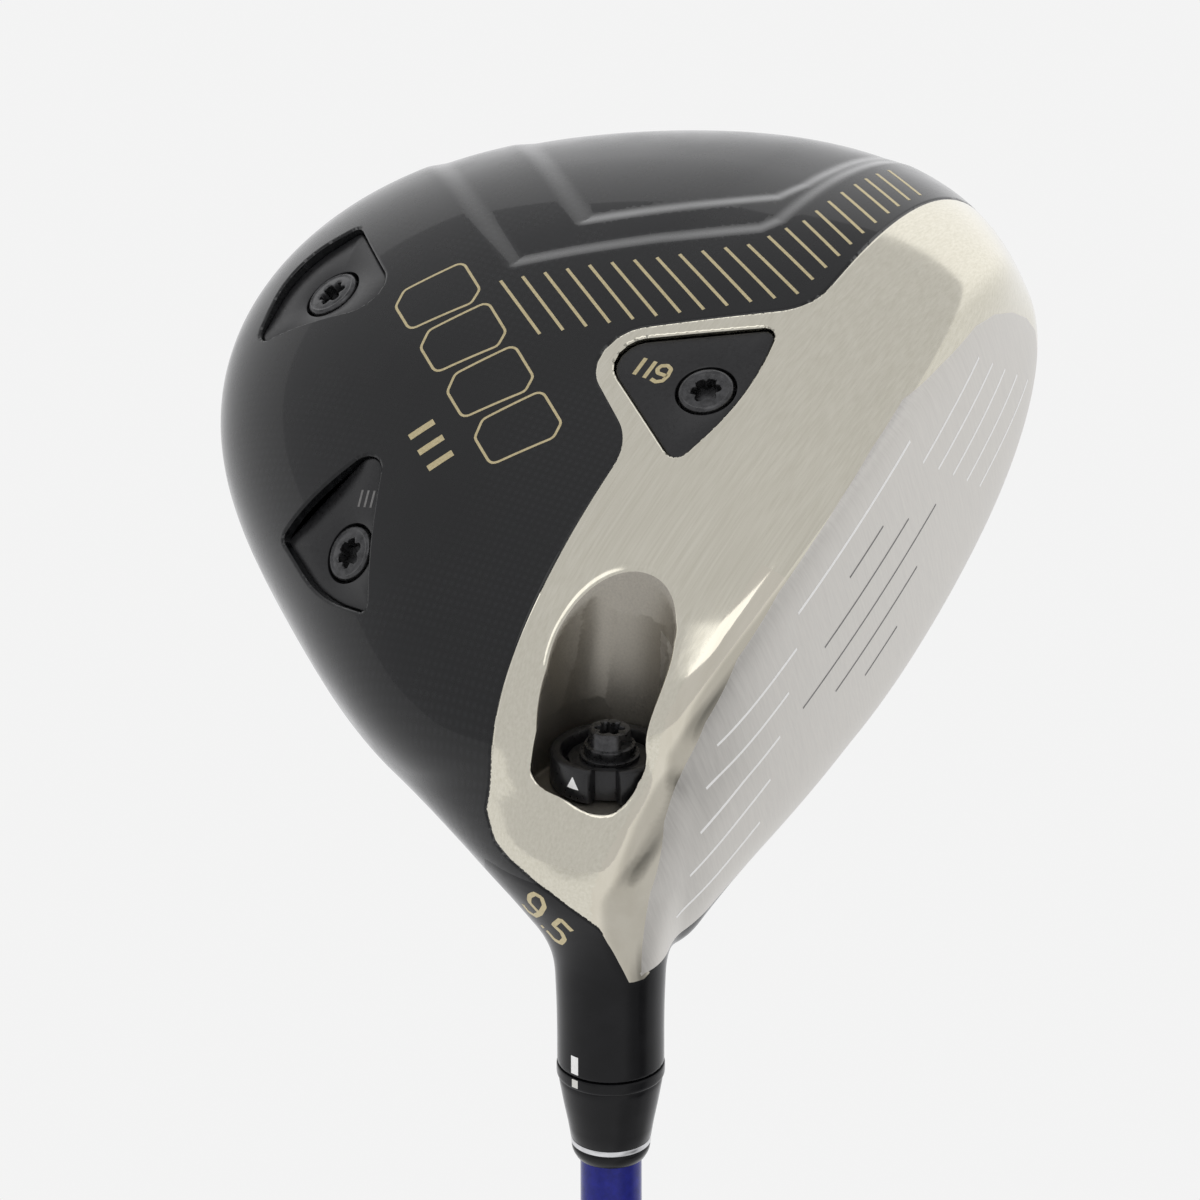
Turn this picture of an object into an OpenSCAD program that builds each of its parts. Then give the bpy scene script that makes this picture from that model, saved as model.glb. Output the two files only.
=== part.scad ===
// Golf driver, right-handed, stood at address.
// The sole touches the ground at the origin, +Z is up, the face looks towards -Y,
// the toe points to -X and the shaft leans towards +X at the lie angle.
// Hosel and shaft parts are drawn along the shaft's axis, from where it meets the ground.

/* [Head] */
// Mean radius of the head's outline, seen from above
outline_r = 59.5; // [58:0.1:61]
// How far the outline is drawn out along its heel-front to toe-back diagonal
outline_skew = 3.7; // [3:0.1:4.4]
// How far the outline is pulled towards a rounded triangle
outline_tri = 4; // [3:0.1:5]
// How far the front of the sole is filled out under the face
front_fill = 1.1; // [0.9:0.1:1.2]
// Height of the crown above the head's widest line
crown_h = 31.2; // [30:0.1:33]
// Depth of the sole below the head's widest line
sole_h = 27.3; // [27:0.1:27.6]
// Radius that rounds the face into the crown and sole
edge_round = 4.5; // [3:0.5:6]

/* [Face] */
// Loft angle of the face
loft = 9.5; // [8.5:0.5:10.5]
// Radius of the face from heel to toe
bulge_r = 300; // [280:10:340]
// Radius of the face from sole to crown
roll_r = 300; // [280:10:340]
// Half the width of the hitting face
face_half_w = 52; // [50:0.5:53]
// Half the height of the hitting face
face_half_h = 25.5; // [24:0.5:26]

/* [Walls] */
// Thickness of the hitting face
face_t = 3; // [2.5:0.1:3.5]
// Thickness of the titanium front body
body_t = 1.8; // [1.5:0.1:2]
// Thickness of the carbon rear shell
rear_t = 1.4; // [1.2:0.1:1.6]
// Thickness of the carbon crown
crown_t = 1; // [0.9:0.1:1.2]

/* [Weights] */
// Thickness of each weight
weight_t = 4; // [3.6:0.1:4.4]
// Diameter of the weight screws' thread
weight_screw_d = 5; // [4:0.5:5]

/* [Hosel] */
// Lie angle between the shaft and the ground
lie = 59.5; // [59:0.5:60]
// Outside diameter of the hosel
hosel_d = 14.6; // [14.4:0.1:15]
// Distance along the shaft from the ground to the top of the hosel
hosel_top = 65.6; // [65:0.1:66]
// Diameter of the locking screw's thread
lock_screw_d = 5; // [4.5:0.5:5]

/* [Shaft] */
// Length of the club, from the ground to the end of the grip
club_length = 1149; // [1120:1:1165]
// Diameter of the shaft's tip
shaft_tip_d = 8.4; // [8.2:0.1:8.5]
// Diameter of the shaft's butt
shaft_butt_d = 15.2; // [15:0.1:15.6]

/* [Grip] */
// Length of the grip
grip_length = 270; // [255:5:285]
// Largest diameter of the grip, at its cap
grip_cap_d = 26.8; // [26:0.2:27.4]
// Diameter of the grip's open end
grip_mouth_d = 18.6; // [18:0.2:19.4]

/* [Hidden] */
$fn = 64;

// Head: a superellipsoid about this centre, flattened onto the face surface at the front.
head_x = -15.3;
head_y = -2.75;
head_z = 26.6;
back_drop = 0.047;    // the widest line falls this much per mm towards the back
toe_rise = 0.095;     // and rises this much per mm towards the toe
plan_power = 2.2;
height_power = 2.3;
around = 61;          // points around the head
up = 27;              // rows from the sole to the crown
face_x = -7.2;        // where the face's middle stands
face_y = -48.8;
face_z = 30;

// The hitting face's own outline, drawn on the x-z plane
outline_x = -5.3;
outline_z = 29.5;
toe_power = 2.4;
heel_power = 1.7;
groove_w = 0.7;
groove_depth = 0.25;

// Where the front body ends and the shells begin, seen from below: [x, y, corner radius]
sole_seam = [[-80, -28.6, 0], [-33.9, -29.8, 8], [-16.4, -1.8, 7], [-3.2, -19.4, 9], [70, -21.6, 0],
             [70, -90, 0], [-80, -90, 0]];
crown_seam_y = -33;   // front edge of the crown panel
crown_split = 8;      // height of the crown panel's edge above the widest line
glue_gap = 0.15;
ledge_w = 7;          // width of the ledge that carries a shell's edge
ledge_t = 1;

// Weights: [centre on the sole, tilt from straight down, its direction, spin, depth, outline]
front_spot = [[-15.4, -24, 2.2], 7.2, -143.2, -143, 0.8,
              [[1.2, 18.6, 4.5], [13.6, -3.5, 1.6], [1.1, -6.5, 40], [-13.3, -3, 1.6]]];
heel_spot = [[23.4, 14.8, 5.5], 29.4, 34.8, 38.5, 2.3,
             [[16.4, -0.7, 2.7], [-8.6, -8.2, 1], [-6.9, 2.7, 22], [1, 13.3, 1]]];
toe_spot = [[-15.7, 41.4, 5], 20.5, 98, 97.5, 1.8,
            [[-10.4, 8, 2.5], [4.2, 10.9, 12], [12.1, 3.5, 1.2], [-0.9, -15, 4.6]]];
weight_gap = 0.15;    // all round a weight in its port
port_wall = 1.1;
port_floor = 1.5;
boss_r = 4.6;
boss_h = 6.5;
fit_gap = 0.05;       // radial play of a screw or a sleeve in its bore
glue_line = 0.02;     // radial gap of a glued ring, plug or tape
head_bore_r = 4.25;   // counterbore for a weight screw's head
head_bore_h = 2.4;
weight_head_r = 3.9;
weight_head_h = 2.3;
weight_shank_l = 9.4;
washer_h = 0.4;

// Hosel stations, along the shaft's axis from the ground
foot = [25.6, -33.9, 0];
seat_low = 23;
seat_high = 27;
bore_r = 5.95;
seat_bore_r = 4.05;
flare_low = 36;
flare_high = 58;
flare_r = 5;          // how much wider the flare is at its low end
form_low = 10;        // the form around the recess begins here
form_foot_r = 2.8;    // and is this much wider than the hosel
form_wall = 1.5;
flare_rows = 12;
recess_r = 8.5;
recess_low = -12;
recess_lean = 0.22;   // how far the recess leans towards the toe per mm below its bend
recess_bend = 10;
recess_wall = 1.4;
dial_r = 8.1;
dial_low = 19.4;
screw_head_low = 15.2;
screw_head_r = 2.8;
screw_foot_r = 3.5;
lock_shank_l = 18;
screw_washer_h = 0.6;
neck_r = seat_bore_r - fit_gap;
sleeve_r = bore_r - fit_gap;
sleeve_in_r = 5.2;
grommet_low = 24;
grommet_h = 1.2;
grommet_r = 3.3;
adapter_low = seat_high + 1.2;
adapter_r = sleeve_in_r - fit_gap;
thread_top = adapter_low + 11;
shaft_low = thread_top + 2;
collar_top = hosel_top + 1.8;
ferrule_top = hosel_top + 11.4;
trim_top = ferrule_top + 0.8;
tip_top = trim_top + 2.2;
ferrule_low_r = hosel_d / 2 - 0.25;
ferrule_high_r = 5.5;
tip_end_r = 4.7;

// Shaft and grip
shaft_tip_r = shaft_tip_d / 2;
glued_r = shaft_tip_r + glue_line;
shaft_butt_r = shaft_butt_d / 2;
tip_parallel = 110;   // the shaft begins to taper here
shaft_wall_tip = 1.6;
shaft_wall_butt = 1;
tape_t = 0.2;
cap_t = 3;
grip_low = club_length - grip_length;
grip_top = club_length - cap_t;
shaft_high = grip_top - 1;
hold_length = 26;     // straight part of the grip next to its cap
vent_r = 1.5;

titanium = "#b9b4a8";
satin = "#c9c8c6";
gloss_black = "#141518";
carbon_black = "#1d1f23";
screw_black = "#26282b";
steel = "#9a9a9c";
nylon = "#e4e1d6";
shaft_blue = "#1c2478";
rubber = "#222426";

// ---- Shape functions ----

function outline_radius(a) = outline_r - outline_skew * sin(2 * a) - outline_tri * sin(3 * a) + 0.3 * sin(4 * a);
function widest_z(x, y) = head_z - back_drop * y - toe_rise * x;
function face_at(x, z) = face_y + tan(loft) * (z - face_z)
    + pow(x - face_x, 2) / (2 * bulge_r) + pow(z - face_z, 2) / (2 * roll_r);
function smooth_max(a, b, r) = max(a, b) + pow(max(r - abs(a - b), 0), 2) / (4 * r);

// A point of the head's skin, moved inwards by inset: a runs round the head, t from the sole up.
function skin(a, t, inset) =
    let (s = sign(t) * pow(abs(sin(t)), 2 / height_power),
         fill = t < 0 ? 1 + front_fill * pow(sin(t), 2) * pow(min(sin(a), 0), 2) : 1,
         r = (outline_radius(a) * fill - inset) * pow(cos(t), 2 / plan_power),
         x = head_x + r * cos(a),
         y = head_y + r * sin(a),
         z = widest_z(x, y) + ((t > 0 ? crown_h : sole_h) - inset) * s)
    [x, smooth_max(y, face_at(x, z) + inset, edge_round), z];

function ring(row, columns) = [for (i = [0 : columns - 1]) row * columns + i];
function band(row, columns) = [for (i = [0 : columns - 1], half = [0, 1])
    let (j = (i + 1) % columns, a = row * columns + i, b = row * columns + j, c = a + columns, d = b + columns)
    half == 0 ? [a, d, b] : [a, c, d]];

// Rounds the corners of a polygon whose vertices are [x, y, corner radius].
function rounded(corners) = [for (i = [0 : len(corners) - 1])
    let (n = len(corners), p = corners[i], before = corners[(i + n - 1) % n], after = corners[(i + 1) % n],
         here = [p[0], p[1]], u = unit([before[0], before[1]] - here), v = unit([after[0], after[1]] - here),
         half = acos(u * v) / 2, middle = here + unit(u + v) * p[2] / sin(half),
         start = here + u * p[2] / tan(half) - middle, end = here + v * p[2] / tan(half) - middle)
    each p[2] == 0 ? [here] : [for (k = [0 : 8]) middle + unit(start * (8 - k) + end * k) * p[2]]];
function unit(v) = v / norm(v);

function shaft_r(t) = shaft_tip_r + (shaft_butt_r - shaft_tip_r)
    * min(max((t - tip_parallel) / (grip_low - 20 - tip_parallel), 0), 1);
function form_extra(t) = t > flare_low
    ? flare_r * pow(max(flare_high - t, 0) / (flare_high - flare_low), 1.5)
    : flare_r - (flare_low - t) * (flare_r - form_foot_r) / (flare_low - form_low);
function form_stations(low, high) = high <= flare_low ? [low, high] : [
    if (low < flare_low) low,
    for (k = [0 : flare_rows]) max(low, flare_low) + (high - max(low, flare_low)) * k / flare_rows];
function form_line(inset, low, high) = [for (t = form_stations(low, high)) [hosel_d / 2 + form_extra(t) - inset, t]];

// ---- Building blocks ----

// Keeps a shell built from meshes as one mesh.
module as_mesh() {
    resize([0, 0, 0]) children();
}

module head(inset) {
    rows = [for (i = [0 : up]) -90 + 0.5 + i * 179 / up];
    polyhedron(
        [for (t = rows, i = [0 : around - 1]) skin(360 * i / around, t, inset)],
        [ring(0, around), for (r = [0 : up - 1]) each band(r, around),
         [for (i = [around - 1 : -1 : 0]) up * around + i]]);
}

module shell(outside, thickness) {
    difference() {
        head(outside);
        head(outside + thickness);
    }
}

// Everything in front of the seam on the sole, moved back by extra.
module front_of_seam(extra) {
    translate([0, 0, -100])
        linear_extrude(200)
            offset(delta = extra)
                polygon(rounded(sole_seam));
}

// Everything above the crown panel's edge, moved down by extra.
module above_split(extra) {
    reach = 100;
    corners = [for (x = [-reach, reach], y = [-reach, reach]) [x, y]];
    polyhedron(
        [for (top = [0, 1], c = corners) [c[0], c[1], top * 150 + widest_z(c[0], c[1]) + crown_split - extra]],
        [[0, 2, 3, 1], [4, 5, 7, 6], [0, 1, 5, 4], [2, 6, 7, 3], [0, 4, 6, 2], [1, 3, 7, 5]]);
}

// The prism that cuts out the hitting face, moved outwards by extra.
module face_prism(extra) {
    translate([0, -37.5, 0])
        rotate([90, 0, 0])
            linear_extrude(50)
                offset(delta = extra)
                    polygon([for (a = [0 : 5 : 355])
                        let (x = face_half_w * sign(cos(a)) * pow(abs(cos(a)), 2 / (cos(a) < 0 ? toe_power : heel_power)),
                             z = face_half_h * sign(sin(a)) * pow(abs(sin(a)), 2 / (cos(a) < 0 ? toe_power : heel_power)))
                        [outline_x + x, outline_z + z - toe_rise * x]]);
}

module on_hosel(t) {
    translate(foot)
        rotate([0, 90 - lie, 0])
            translate([0, 0, t])
                children();
}

module at_spot(spot) {
    translate(spot[0])
        rotate([0, 180 - spot[1], spot[2]])
            rotate([0, 0, spot[3]])
                children();
}

// The rounded triangle of one weight, between two depths below the sole.
module weight_prism(spot, low, high, extra) {
    translate([0, 0, low])
        linear_extrude(high - low)
            offset(delta = extra)
                polygon(rounded(spot[5]));
}

// Outer form of the hosel between two stations: it widens down to the flare's foot, then narrows
// again around the recess.
module hosel_form(inset, low, high) {
    on_hosel(0) rotate_extrude()
        polygon([[0, low], each form_line(inset, low, high), [0, high]]);
}

// The scoop in the sole that gives access to the locking screw.
module recess(extra) {
    on_hosel(0) {
        translate([0, 0, recess_bend])
            cylinder(r = recess_r + extra, h = seat_low - recess_bend + extra);
        hull() {
            translate([0, 0, recess_bend])
                cylinder(r = recess_r + extra, h = 0.1);
            translate([-recess_lean * (recess_bend - recess_low), 0, recess_low])
                cylinder(r = recess_r + extra, h = 0.1);
        }
    }
}

// Six-lobed socket of a screw.
module lobed_socket(r, h) {
    linear_extrude(h)
        polygon([for (a = [0 : 10 : 350]) r * (0.87 + 0.13 * cos(6 * a)) * [cos(a), sin(a)]]);
}

module score_lines() {
    middle = [[-6, 11.2, 30.6], [-6.6, 17.5, 9.2], [-6.6, 23, 23], [-6.2, 28.4, 36.4], [-6, 33.6, 22.4], [-5.8, 38.8, 8.8]];
    for (line = middle)
        score_line(line[0], line[1], line[2]);
    for (k = [0 : 4]) {
        score_line(-33 - 2.9 * k, 17.9 + 5.3 * k, 18.4);
        score_line(18.8 + 3.7 * k, 16.6 + 5.6 * k, 18.2);
    }
}

module score_line(x, z, length) {
    translate([x - length / 2, -80, z - groove_w / 2])
        cube([length, 60, groove_w]);
}

// ---- Head, all fixed together ----

module front_body() {
    color(titanium) as_mesh() difference() {
        union() {
            difference() {
                union() {
                    front_skin();
                    sole_ledge();
                    crown_ledge();
                    intersection() {
                        recess(recess_wall);
                        head(0.01);
                    }
                }
                face_room();
                hosel_form(-0.1, flare_low - 0.3, flare_high);
            }
            hosel_form(0, form_low, flare_low - fit_gap);
        }
        hosel_form(form_wall, seat_low + form_wall, flare_low + 1);
        recess(0);
        at_spot(front_spot) weight_prism(front_spot, -20, 10, port_wall + fit_gap);
        on_hosel(seat_low - 1) cylinder(r = hosel_d / 2 + fit_gap, h = 60);
    }
}

// The space that the face plate takes up, with the gap around and behind it.
module face_room() {
    intersection() {
        shell(-1, 1 + face_t + glue_gap);
        face_prism(fit_gap);
    }
}

module front_skin() {
    difference() {
        shell(0, body_t);
        difference() {
            translate([-100, -100, -20]) cube([200, 200, 120]);
            front_of_seam(0);
            above_split(0);
        }
        intersection() {
            above_split(glue_gap);
            translate([-100, crown_seam_y, -20]) cube([200, 200, 120]);
        }
    }
}

module sole_ledge() {
    difference() {
        shell(rear_t + glue_gap, ledge_t);
        difference() {
            translate([-100, -100, -20]) cube([200, 200, 120]);
            front_of_seam(ledge_w);
        }
        above_split(ledge_w);
        front_of_seam(-ledge_w);
    }
}

module crown_ledge() {
    intersection() {
        shell(crown_t + glue_gap, ledge_t);
        above_split(0);
        translate([-100, crown_seam_y - ledge_w, -20]) cube([200, 2 * ledge_w, 120]);
    }
}

module face_plate() {
    color(satin) as_mesh() difference() {
        intersection() {
            shell(0, face_t);
            face_prism(0);
        }
        intersection() {
            score_lines();
            shell(-1, 1 + groove_depth);
        }
        hosel_form(-0.1, form_low, flare_high);
    }
}

module rear_shell() {
    color(carbon_black) as_mesh() difference() {
        union() {
            difference() {
                shell(0, rear_t);
                above_split(glue_gap);
            }
            intersection() {
                shell(crown_t + glue_gap, ledge_t);
                above_split(ledge_w);
                translate([-100, crown_seam_y + ledge_w + 1, -20]) cube([200, 200, 120]);
                difference() {
                    head(0);
                    above_split(-ledge_w);
                }
            }
        }
        front_of_seam(glue_gap);
        difference() {
            front_of_seam(ledge_w + 1);
            head_lip();
        }
        at_spot(heel_spot) weight_prism(heel_spot, -20, 10, port_wall + fit_gap);
        at_spot(toe_spot) weight_prism(toe_spot, -20, 10, port_wall + fit_gap);
        hosel_form(-0.1, form_low, flare_high);
    }
}

// The outermost layer of the head, down to the rear shell's own thickness.
module head_lip() {
    difference() {
        head(-1);
        head(rear_t + glue_gap / 2);
    }
}

module crown_panel() {
    color(gloss_black) as_mesh() difference() {
        intersection() {
            shell(0, crown_t);
            above_split(0);
            translate([-100, crown_seam_y + glue_gap, -20]) cube([200, 200, 120]);
        }
        hosel_form(-0.1, form_low, flare_high);
    }
}

module hosel_tube() {
    outer = hosel_d / 2;
    inside_top = flare_high - 4;
    tube_low = seat_low + 2 * fit_gap;
    inner_line = form_line(form_wall, flare_low, inside_top);
    color(gloss_black) on_hosel(0) rotate_extrude()
        polygon([[seat_bore_r, tube_low], [outer, tube_low], [outer, inside_top],
                 each [for (k = [flare_rows : -1 : 0]) if (inner_line[k][0] > outer + 0.1) inner_line[k]],
                 each form_line(0, flare_low, flare_high),
                 [outer, hosel_top], [bore_r, hosel_top], [bore_r, seat_high], [seat_bore_r, seat_high]]);
}

module sole_ribs() {
    color(titanium) as_mesh() difference() {
        intersection() {
            shell(body_t + fit_gap, 6);
            translate([-62, -50, -5]) cube([60, 50, 22]);
            union() {
                for (y = [-46, -40.5])
                    translate([-60, y, 0]) cube([56, 1.1, 25]);
                for (x = [-50, -40])
                    translate([x, -47, 0]) cube([1.1, 16, 25]);
            }
        }
        intersection() {
            shell(0, face_t + glue_gap);
            face_prism(1);
        }
        at_spot(front_spot) weight_prism(front_spot, -20, 10, port_wall + 0.5);
        behind_front_body();
    }
}

// Everything behind the front body's plain wall: the ribs stop short of the ledge there.
module behind_front_body() {
    difference() {
        translate([-100, -100, -20]) cube([200, 200, 120]);
        front_of_seam(-ledge_w - 0.5);
    }
}

// ---- Weights, their ports and screws ----

module weight_port(spot) {
    floor_top = -spot[4] - weight_t - fit_gap;
    floor_low = floor_top - port_floor;
    color(screw_black) difference() {
        as_mesh() intersection() {
            head(0.02);
            at_spot(spot) {
                difference() {
                    weight_prism(spot, floor_low, 10, port_wall);
                    weight_prism(spot, floor_top, 11, weight_gap);
                }
                translate([0, 0, floor_low - boss_h])
                    cylinder(r = boss_r, h = boss_h + 1);
            }
        }
        at_spot(spot)
            translate([0, 0, floor_low - boss_h - 1])
                cylinder(r = weight_screw_d / 2 + fit_gap, h = port_floor + boss_h + 2);
    }
}

module weight(spot) {
    color(carbon_black) at_spot(spot) difference() {
        translate([0, 0, -spot[4] - weight_t])
            linear_extrude(weight_t)
                polygon(rounded(spot[5]));
        translate([0, 0, -spot[4] - head_bore_h])
            cylinder(r = head_bore_r, h = head_bore_h + 1);
        translate([0, 0, -spot[4] - weight_t - 1])
            cylinder(r = weight_screw_d / 2 + 2 * fit_gap, h = weight_t + 2);
    }
}

module weight_washer(spot) {
    color(nylon) at_spot(spot)
        translate([0, 0, -spot[4] - head_bore_h])
            difference() {
                cylinder(r = weight_head_r, h = washer_h);
                translate([0, 0, -1])
                    cylinder(r = weight_screw_d / 2 + fit_gap, h = washer_h + 2);
            }
}

module weight_screw(spot) {
    under = -spot[4] - head_bore_h + washer_h;
    color(screw_black) at_spot(spot) difference() {
        union() {
            translate([0, 0, under - weight_shank_l])
                cylinder(r = weight_screw_d / 2, h = weight_shank_l + 0.1);
            translate([0, 0, under])
                cylinder(r = weight_head_r, h = weight_head_h - 0.5);
            translate([0, 0, under + weight_head_h - 0.5])
                cylinder(r1 = weight_head_r, r2 = weight_head_r - 0.5, h = 0.5);
        }
        translate([0, 0, under + 0.5])
            lobed_socket(2.2, weight_head_h);
    }
}

module front_weight_port() { weight_port(front_spot); }
module heel_weight_port() { weight_port(heel_spot); }
module toe_weight_port() { weight_port(toe_spot); }
module front_weight() { weight(front_spot); }
module heel_weight() { weight(heel_spot); }
module toe_weight() { weight(toe_spot); }
module front_weight_washer() { weight_washer(front_spot); }
module heel_weight_washer() { weight_washer(heel_spot); }
module toe_weight_washer() { weight_washer(toe_spot); }
module front_weight_screw() { weight_screw(front_spot); }
module heel_weight_screw() { weight_screw(heel_spot); }
module toe_weight_screw() { weight_screw(toe_spot); }

// ---- Locking screw and dial ----

module hosel_screw() {
    shoulder = dial_low - screw_washer_h;
    color(screw_black) on_hosel(0) difference() {
        union() {
            translate([0, 0, screw_head_low])
                cylinder(r1 = screw_head_r, r2 = screw_foot_r, h = shoulder - screw_head_low);
            translate([0, 0, shoulder - 0.1])
                cylinder(r = lock_screw_d / 2, h = lock_shank_l + 0.1);
        }
        translate([0, 0, screw_head_low - 1])
            lobed_socket(2.1, 3.2);
    }
}

module screw_washer() {
    color(steel) on_hosel(dial_low - screw_washer_h) difference() {
        cylinder(r = screw_foot_r + 0.6, h = screw_washer_h);
        translate([0, 0, -1])
            cylinder(r = lock_screw_d / 2 + fit_gap, h = screw_washer_h + 2);
    }
}

module adjusting_dial() {
    rim_low = dial_low - 1.2;
    color(gloss_black) on_hosel(0) rotate_extrude()
        polygon([[lock_screw_d / 2 + 2 * fit_gap, dial_low], [dial_r - 1.4, dial_low], [dial_r - 1.2, rim_low],
                 [dial_r - 0.4, rim_low], [dial_r, rim_low + 0.4], [dial_r, seat_low - fit_gap],
                 [lock_screw_d / 2 + 2 * fit_gap, seat_low - fit_gap]]);
}

module angle_sleeve() {
    color(steel) on_hosel(0) rotate_extrude()
        polygon([[lock_screw_d / 2 + 2 * fit_gap, seat_low], [neck_r, seat_low], [neck_r, seat_high + fit_gap],
                 [sleeve_r, seat_high + fit_gap], [sleeve_r, hosel_top - 0.5], [sleeve_in_r, hosel_top - 0.5],
                 [sleeve_in_r, seat_high + 1], [grommet_r, seat_high + 1], [grommet_r, grommet_low],
                 [lock_screw_d / 2 + 2 * fit_gap, grommet_low]]);
}

module screw_grommet() {
    color(nylon) on_hosel(grommet_low) difference() {
        cylinder(r = grommet_r - glue_line, h = grommet_h);
        translate([0, 0, -1])
            cylinder(r = lock_screw_d / 2 + fit_gap, h = grommet_h + 2);
    }
}

// ---- Shaft, ferrule and grip ----

module shaft_adapter() {
    color(steel) on_hosel(0) rotate_extrude()
        polygon([[lock_screw_d / 2 + fit_gap, adapter_low], [adapter_r, adapter_low], [adapter_r, hosel_top],
                 [glued_r, hosel_top], [glued_r, shaft_low - glue_line], [lock_screw_d / 2 + fit_gap, shaft_low - glue_line]]);
}

module collar_ring() {
    outer = hosel_d / 2 + 0.1;
    color(gloss_black) on_hosel(0) rotate_extrude()
        polygon([[glued_r, hosel_top + fit_gap], [outer - 0.4, hosel_top + fit_gap], [outer, hosel_top + 0.4],
                 [outer, collar_top - 0.4], [outer - 0.4, collar_top], [glued_r, collar_top]]);
}

module ferrule() {
    color(gloss_black) on_hosel(0) rotate_extrude()
        polygon([[glued_r, collar_top], [ferrule_low_r, collar_top], [ferrule_high_r, ferrule_top],
                 [glued_r, ferrule_top]]);
}

module trim_ring() {
    color(steel) on_hosel(ferrule_top) difference() {
        cylinder(r = ferrule_high_r - 0.05, h = trim_top - ferrule_top);
        translate([0, 0, -1])
            cylinder(r = glued_r, h = 3);
    }
}

module ferrule_tip() {
    color(gloss_black) on_hosel(0) rotate_extrude()
        polygon([[glued_r, trim_top], [ferrule_high_r - 0.1, trim_top], [ferrule_high_r - 0.2, trim_top + 1],
                 [tip_end_r, tip_top], [glued_r, tip_top]]);
}

module shaft() {
    stations = [shaft_low, tip_parallel, grip_low - 20, shaft_high];
    color(shaft_blue) on_hosel(0) rotate_extrude()
        polygon([for (t = stations) [shaft_r(t), t],
                 [shaft_butt_r - shaft_wall_butt, shaft_high],
                 [shaft_butt_r - shaft_wall_butt, grip_low - 20],
                 [shaft_tip_r - shaft_wall_tip, tip_parallel],
                 [shaft_tip_r - shaft_wall_tip, shaft_low]]);
}

module tip_plug() {
    color(nylon) on_hosel(shaft_low + 0.5)
        cylinder(r = shaft_tip_r - shaft_wall_tip - glue_line, h = 8);
}

module grip_tape() {
    color(nylon) on_hosel(grip_low + 2) difference() {
        cylinder(r = shaft_butt_r + tape_t, h = shaft_high - grip_low - 2);
        translate([0, 0, -1])
            cylinder(r = shaft_butt_r + glue_line, h = grip_length + 2);
    }
}

module grip() {
    inner = shaft_butt_r + tape_t + glue_line;
    cap_r = grip_cap_d / 2;
    mouth_r = grip_mouth_d / 2;
    color(rubber) on_hosel(0) rotate_extrude()
        polygon([[inner, grip_low], [mouth_r - 0.6, grip_low], [mouth_r, grip_low + 0.8],
                 [mouth_r + (cap_r - mouth_r) * 0.62, grip_top - hold_length - 60],
                 [cap_r, grip_top - hold_length], [cap_r, grip_top], [inner, grip_top]]);
}

module grip_cap() {
    cap_r = grip_cap_d / 2;
    color(rubber) on_hosel(0) rotate_extrude()
        polygon([[vent_r, grip_top], [cap_r, grip_top], [cap_r - 0.5, club_length - 1.2],
                 [cap_r - 2.2, club_length], [vent_r, club_length]]);
}

front_body();
face_plate();
rear_shell();
crown_panel();
hosel_tube();
sole_ribs();
front_weight_port();
heel_weight_port();
toe_weight_port();
front_weight();
heel_weight();
toe_weight();
front_weight_washer();
heel_weight_washer();
toe_weight_washer();
front_weight_screw();
heel_weight_screw();
toe_weight_screw();
hosel_screw();
screw_washer();
adjusting_dial();
angle_sleeve();
screw_grommet();
shaft_adapter();
collar_ring();
ferrule();
trim_ring();
ferrule_tip();
shaft();
tip_plug();
grip_tape();
grip();
grip_cap();
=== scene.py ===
import math

import bpy
import numpy as np
from mathutils import Matrix


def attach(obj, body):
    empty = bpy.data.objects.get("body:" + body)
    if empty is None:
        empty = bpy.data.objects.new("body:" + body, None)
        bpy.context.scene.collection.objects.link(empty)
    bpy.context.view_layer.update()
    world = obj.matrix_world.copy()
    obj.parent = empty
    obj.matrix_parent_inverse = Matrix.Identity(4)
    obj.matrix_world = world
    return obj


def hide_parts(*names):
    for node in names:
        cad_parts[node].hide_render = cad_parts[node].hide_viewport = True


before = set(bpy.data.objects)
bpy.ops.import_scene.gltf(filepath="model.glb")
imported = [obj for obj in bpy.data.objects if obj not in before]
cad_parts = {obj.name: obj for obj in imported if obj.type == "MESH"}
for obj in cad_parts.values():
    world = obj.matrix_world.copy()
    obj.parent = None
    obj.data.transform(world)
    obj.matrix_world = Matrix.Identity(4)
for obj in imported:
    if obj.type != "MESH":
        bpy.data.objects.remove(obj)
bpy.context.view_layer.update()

# Everything below is drawn in millimetres and scaled to metres when a mesh is made.
MM = 0.001
CELL = 0.6

# ---- The head's shape, as in the CAD source ----

HEAD_CENTRE = (-15.3, -2.75)
OUTLINE_R, OUTLINE_SKEW, OUTLINE_TRI, OUTLINE_FOUR = 59.5, 3.7, 4.0, 0.3
CROWN_H, SOLE_H = 31.2, 27.3
PLAN_POWER, HEIGHT_POWER = 2.2, 2.3
FRONT_FILL = 1.1
VALUE_SCALE = 35
FACE_AT = (-7.2, -48.8, 30)
FACE_CURVE = 600
EDGE_ROUND = 4.5
LOFT = math.radians(9.5)
LIE = math.radians(59.5)
FOOT = np.array([25.6, -33.9, 0.0])
AXIS = np.array([math.cos(LIE), 0.0, math.sin(LIE)])
ACROSS = np.array([math.sin(LIE), 0.0, -math.cos(LIE)])
HOSEL_R, HOSEL_TOP = 7.3, 65.6
BORE_R, BORE_FOOT, BORE_ROUND = 5.95, 27, 0.6
SCREW_HOLE_R, SCREW_HOLE_FOOT = 4.05, 20
RECESS_R, RECESS_FLOOR, RECESS_ROUND = 8.5, 23.4, 1.1
SPLIT = 8.0
CROWN_FRONT = -33.0

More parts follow.
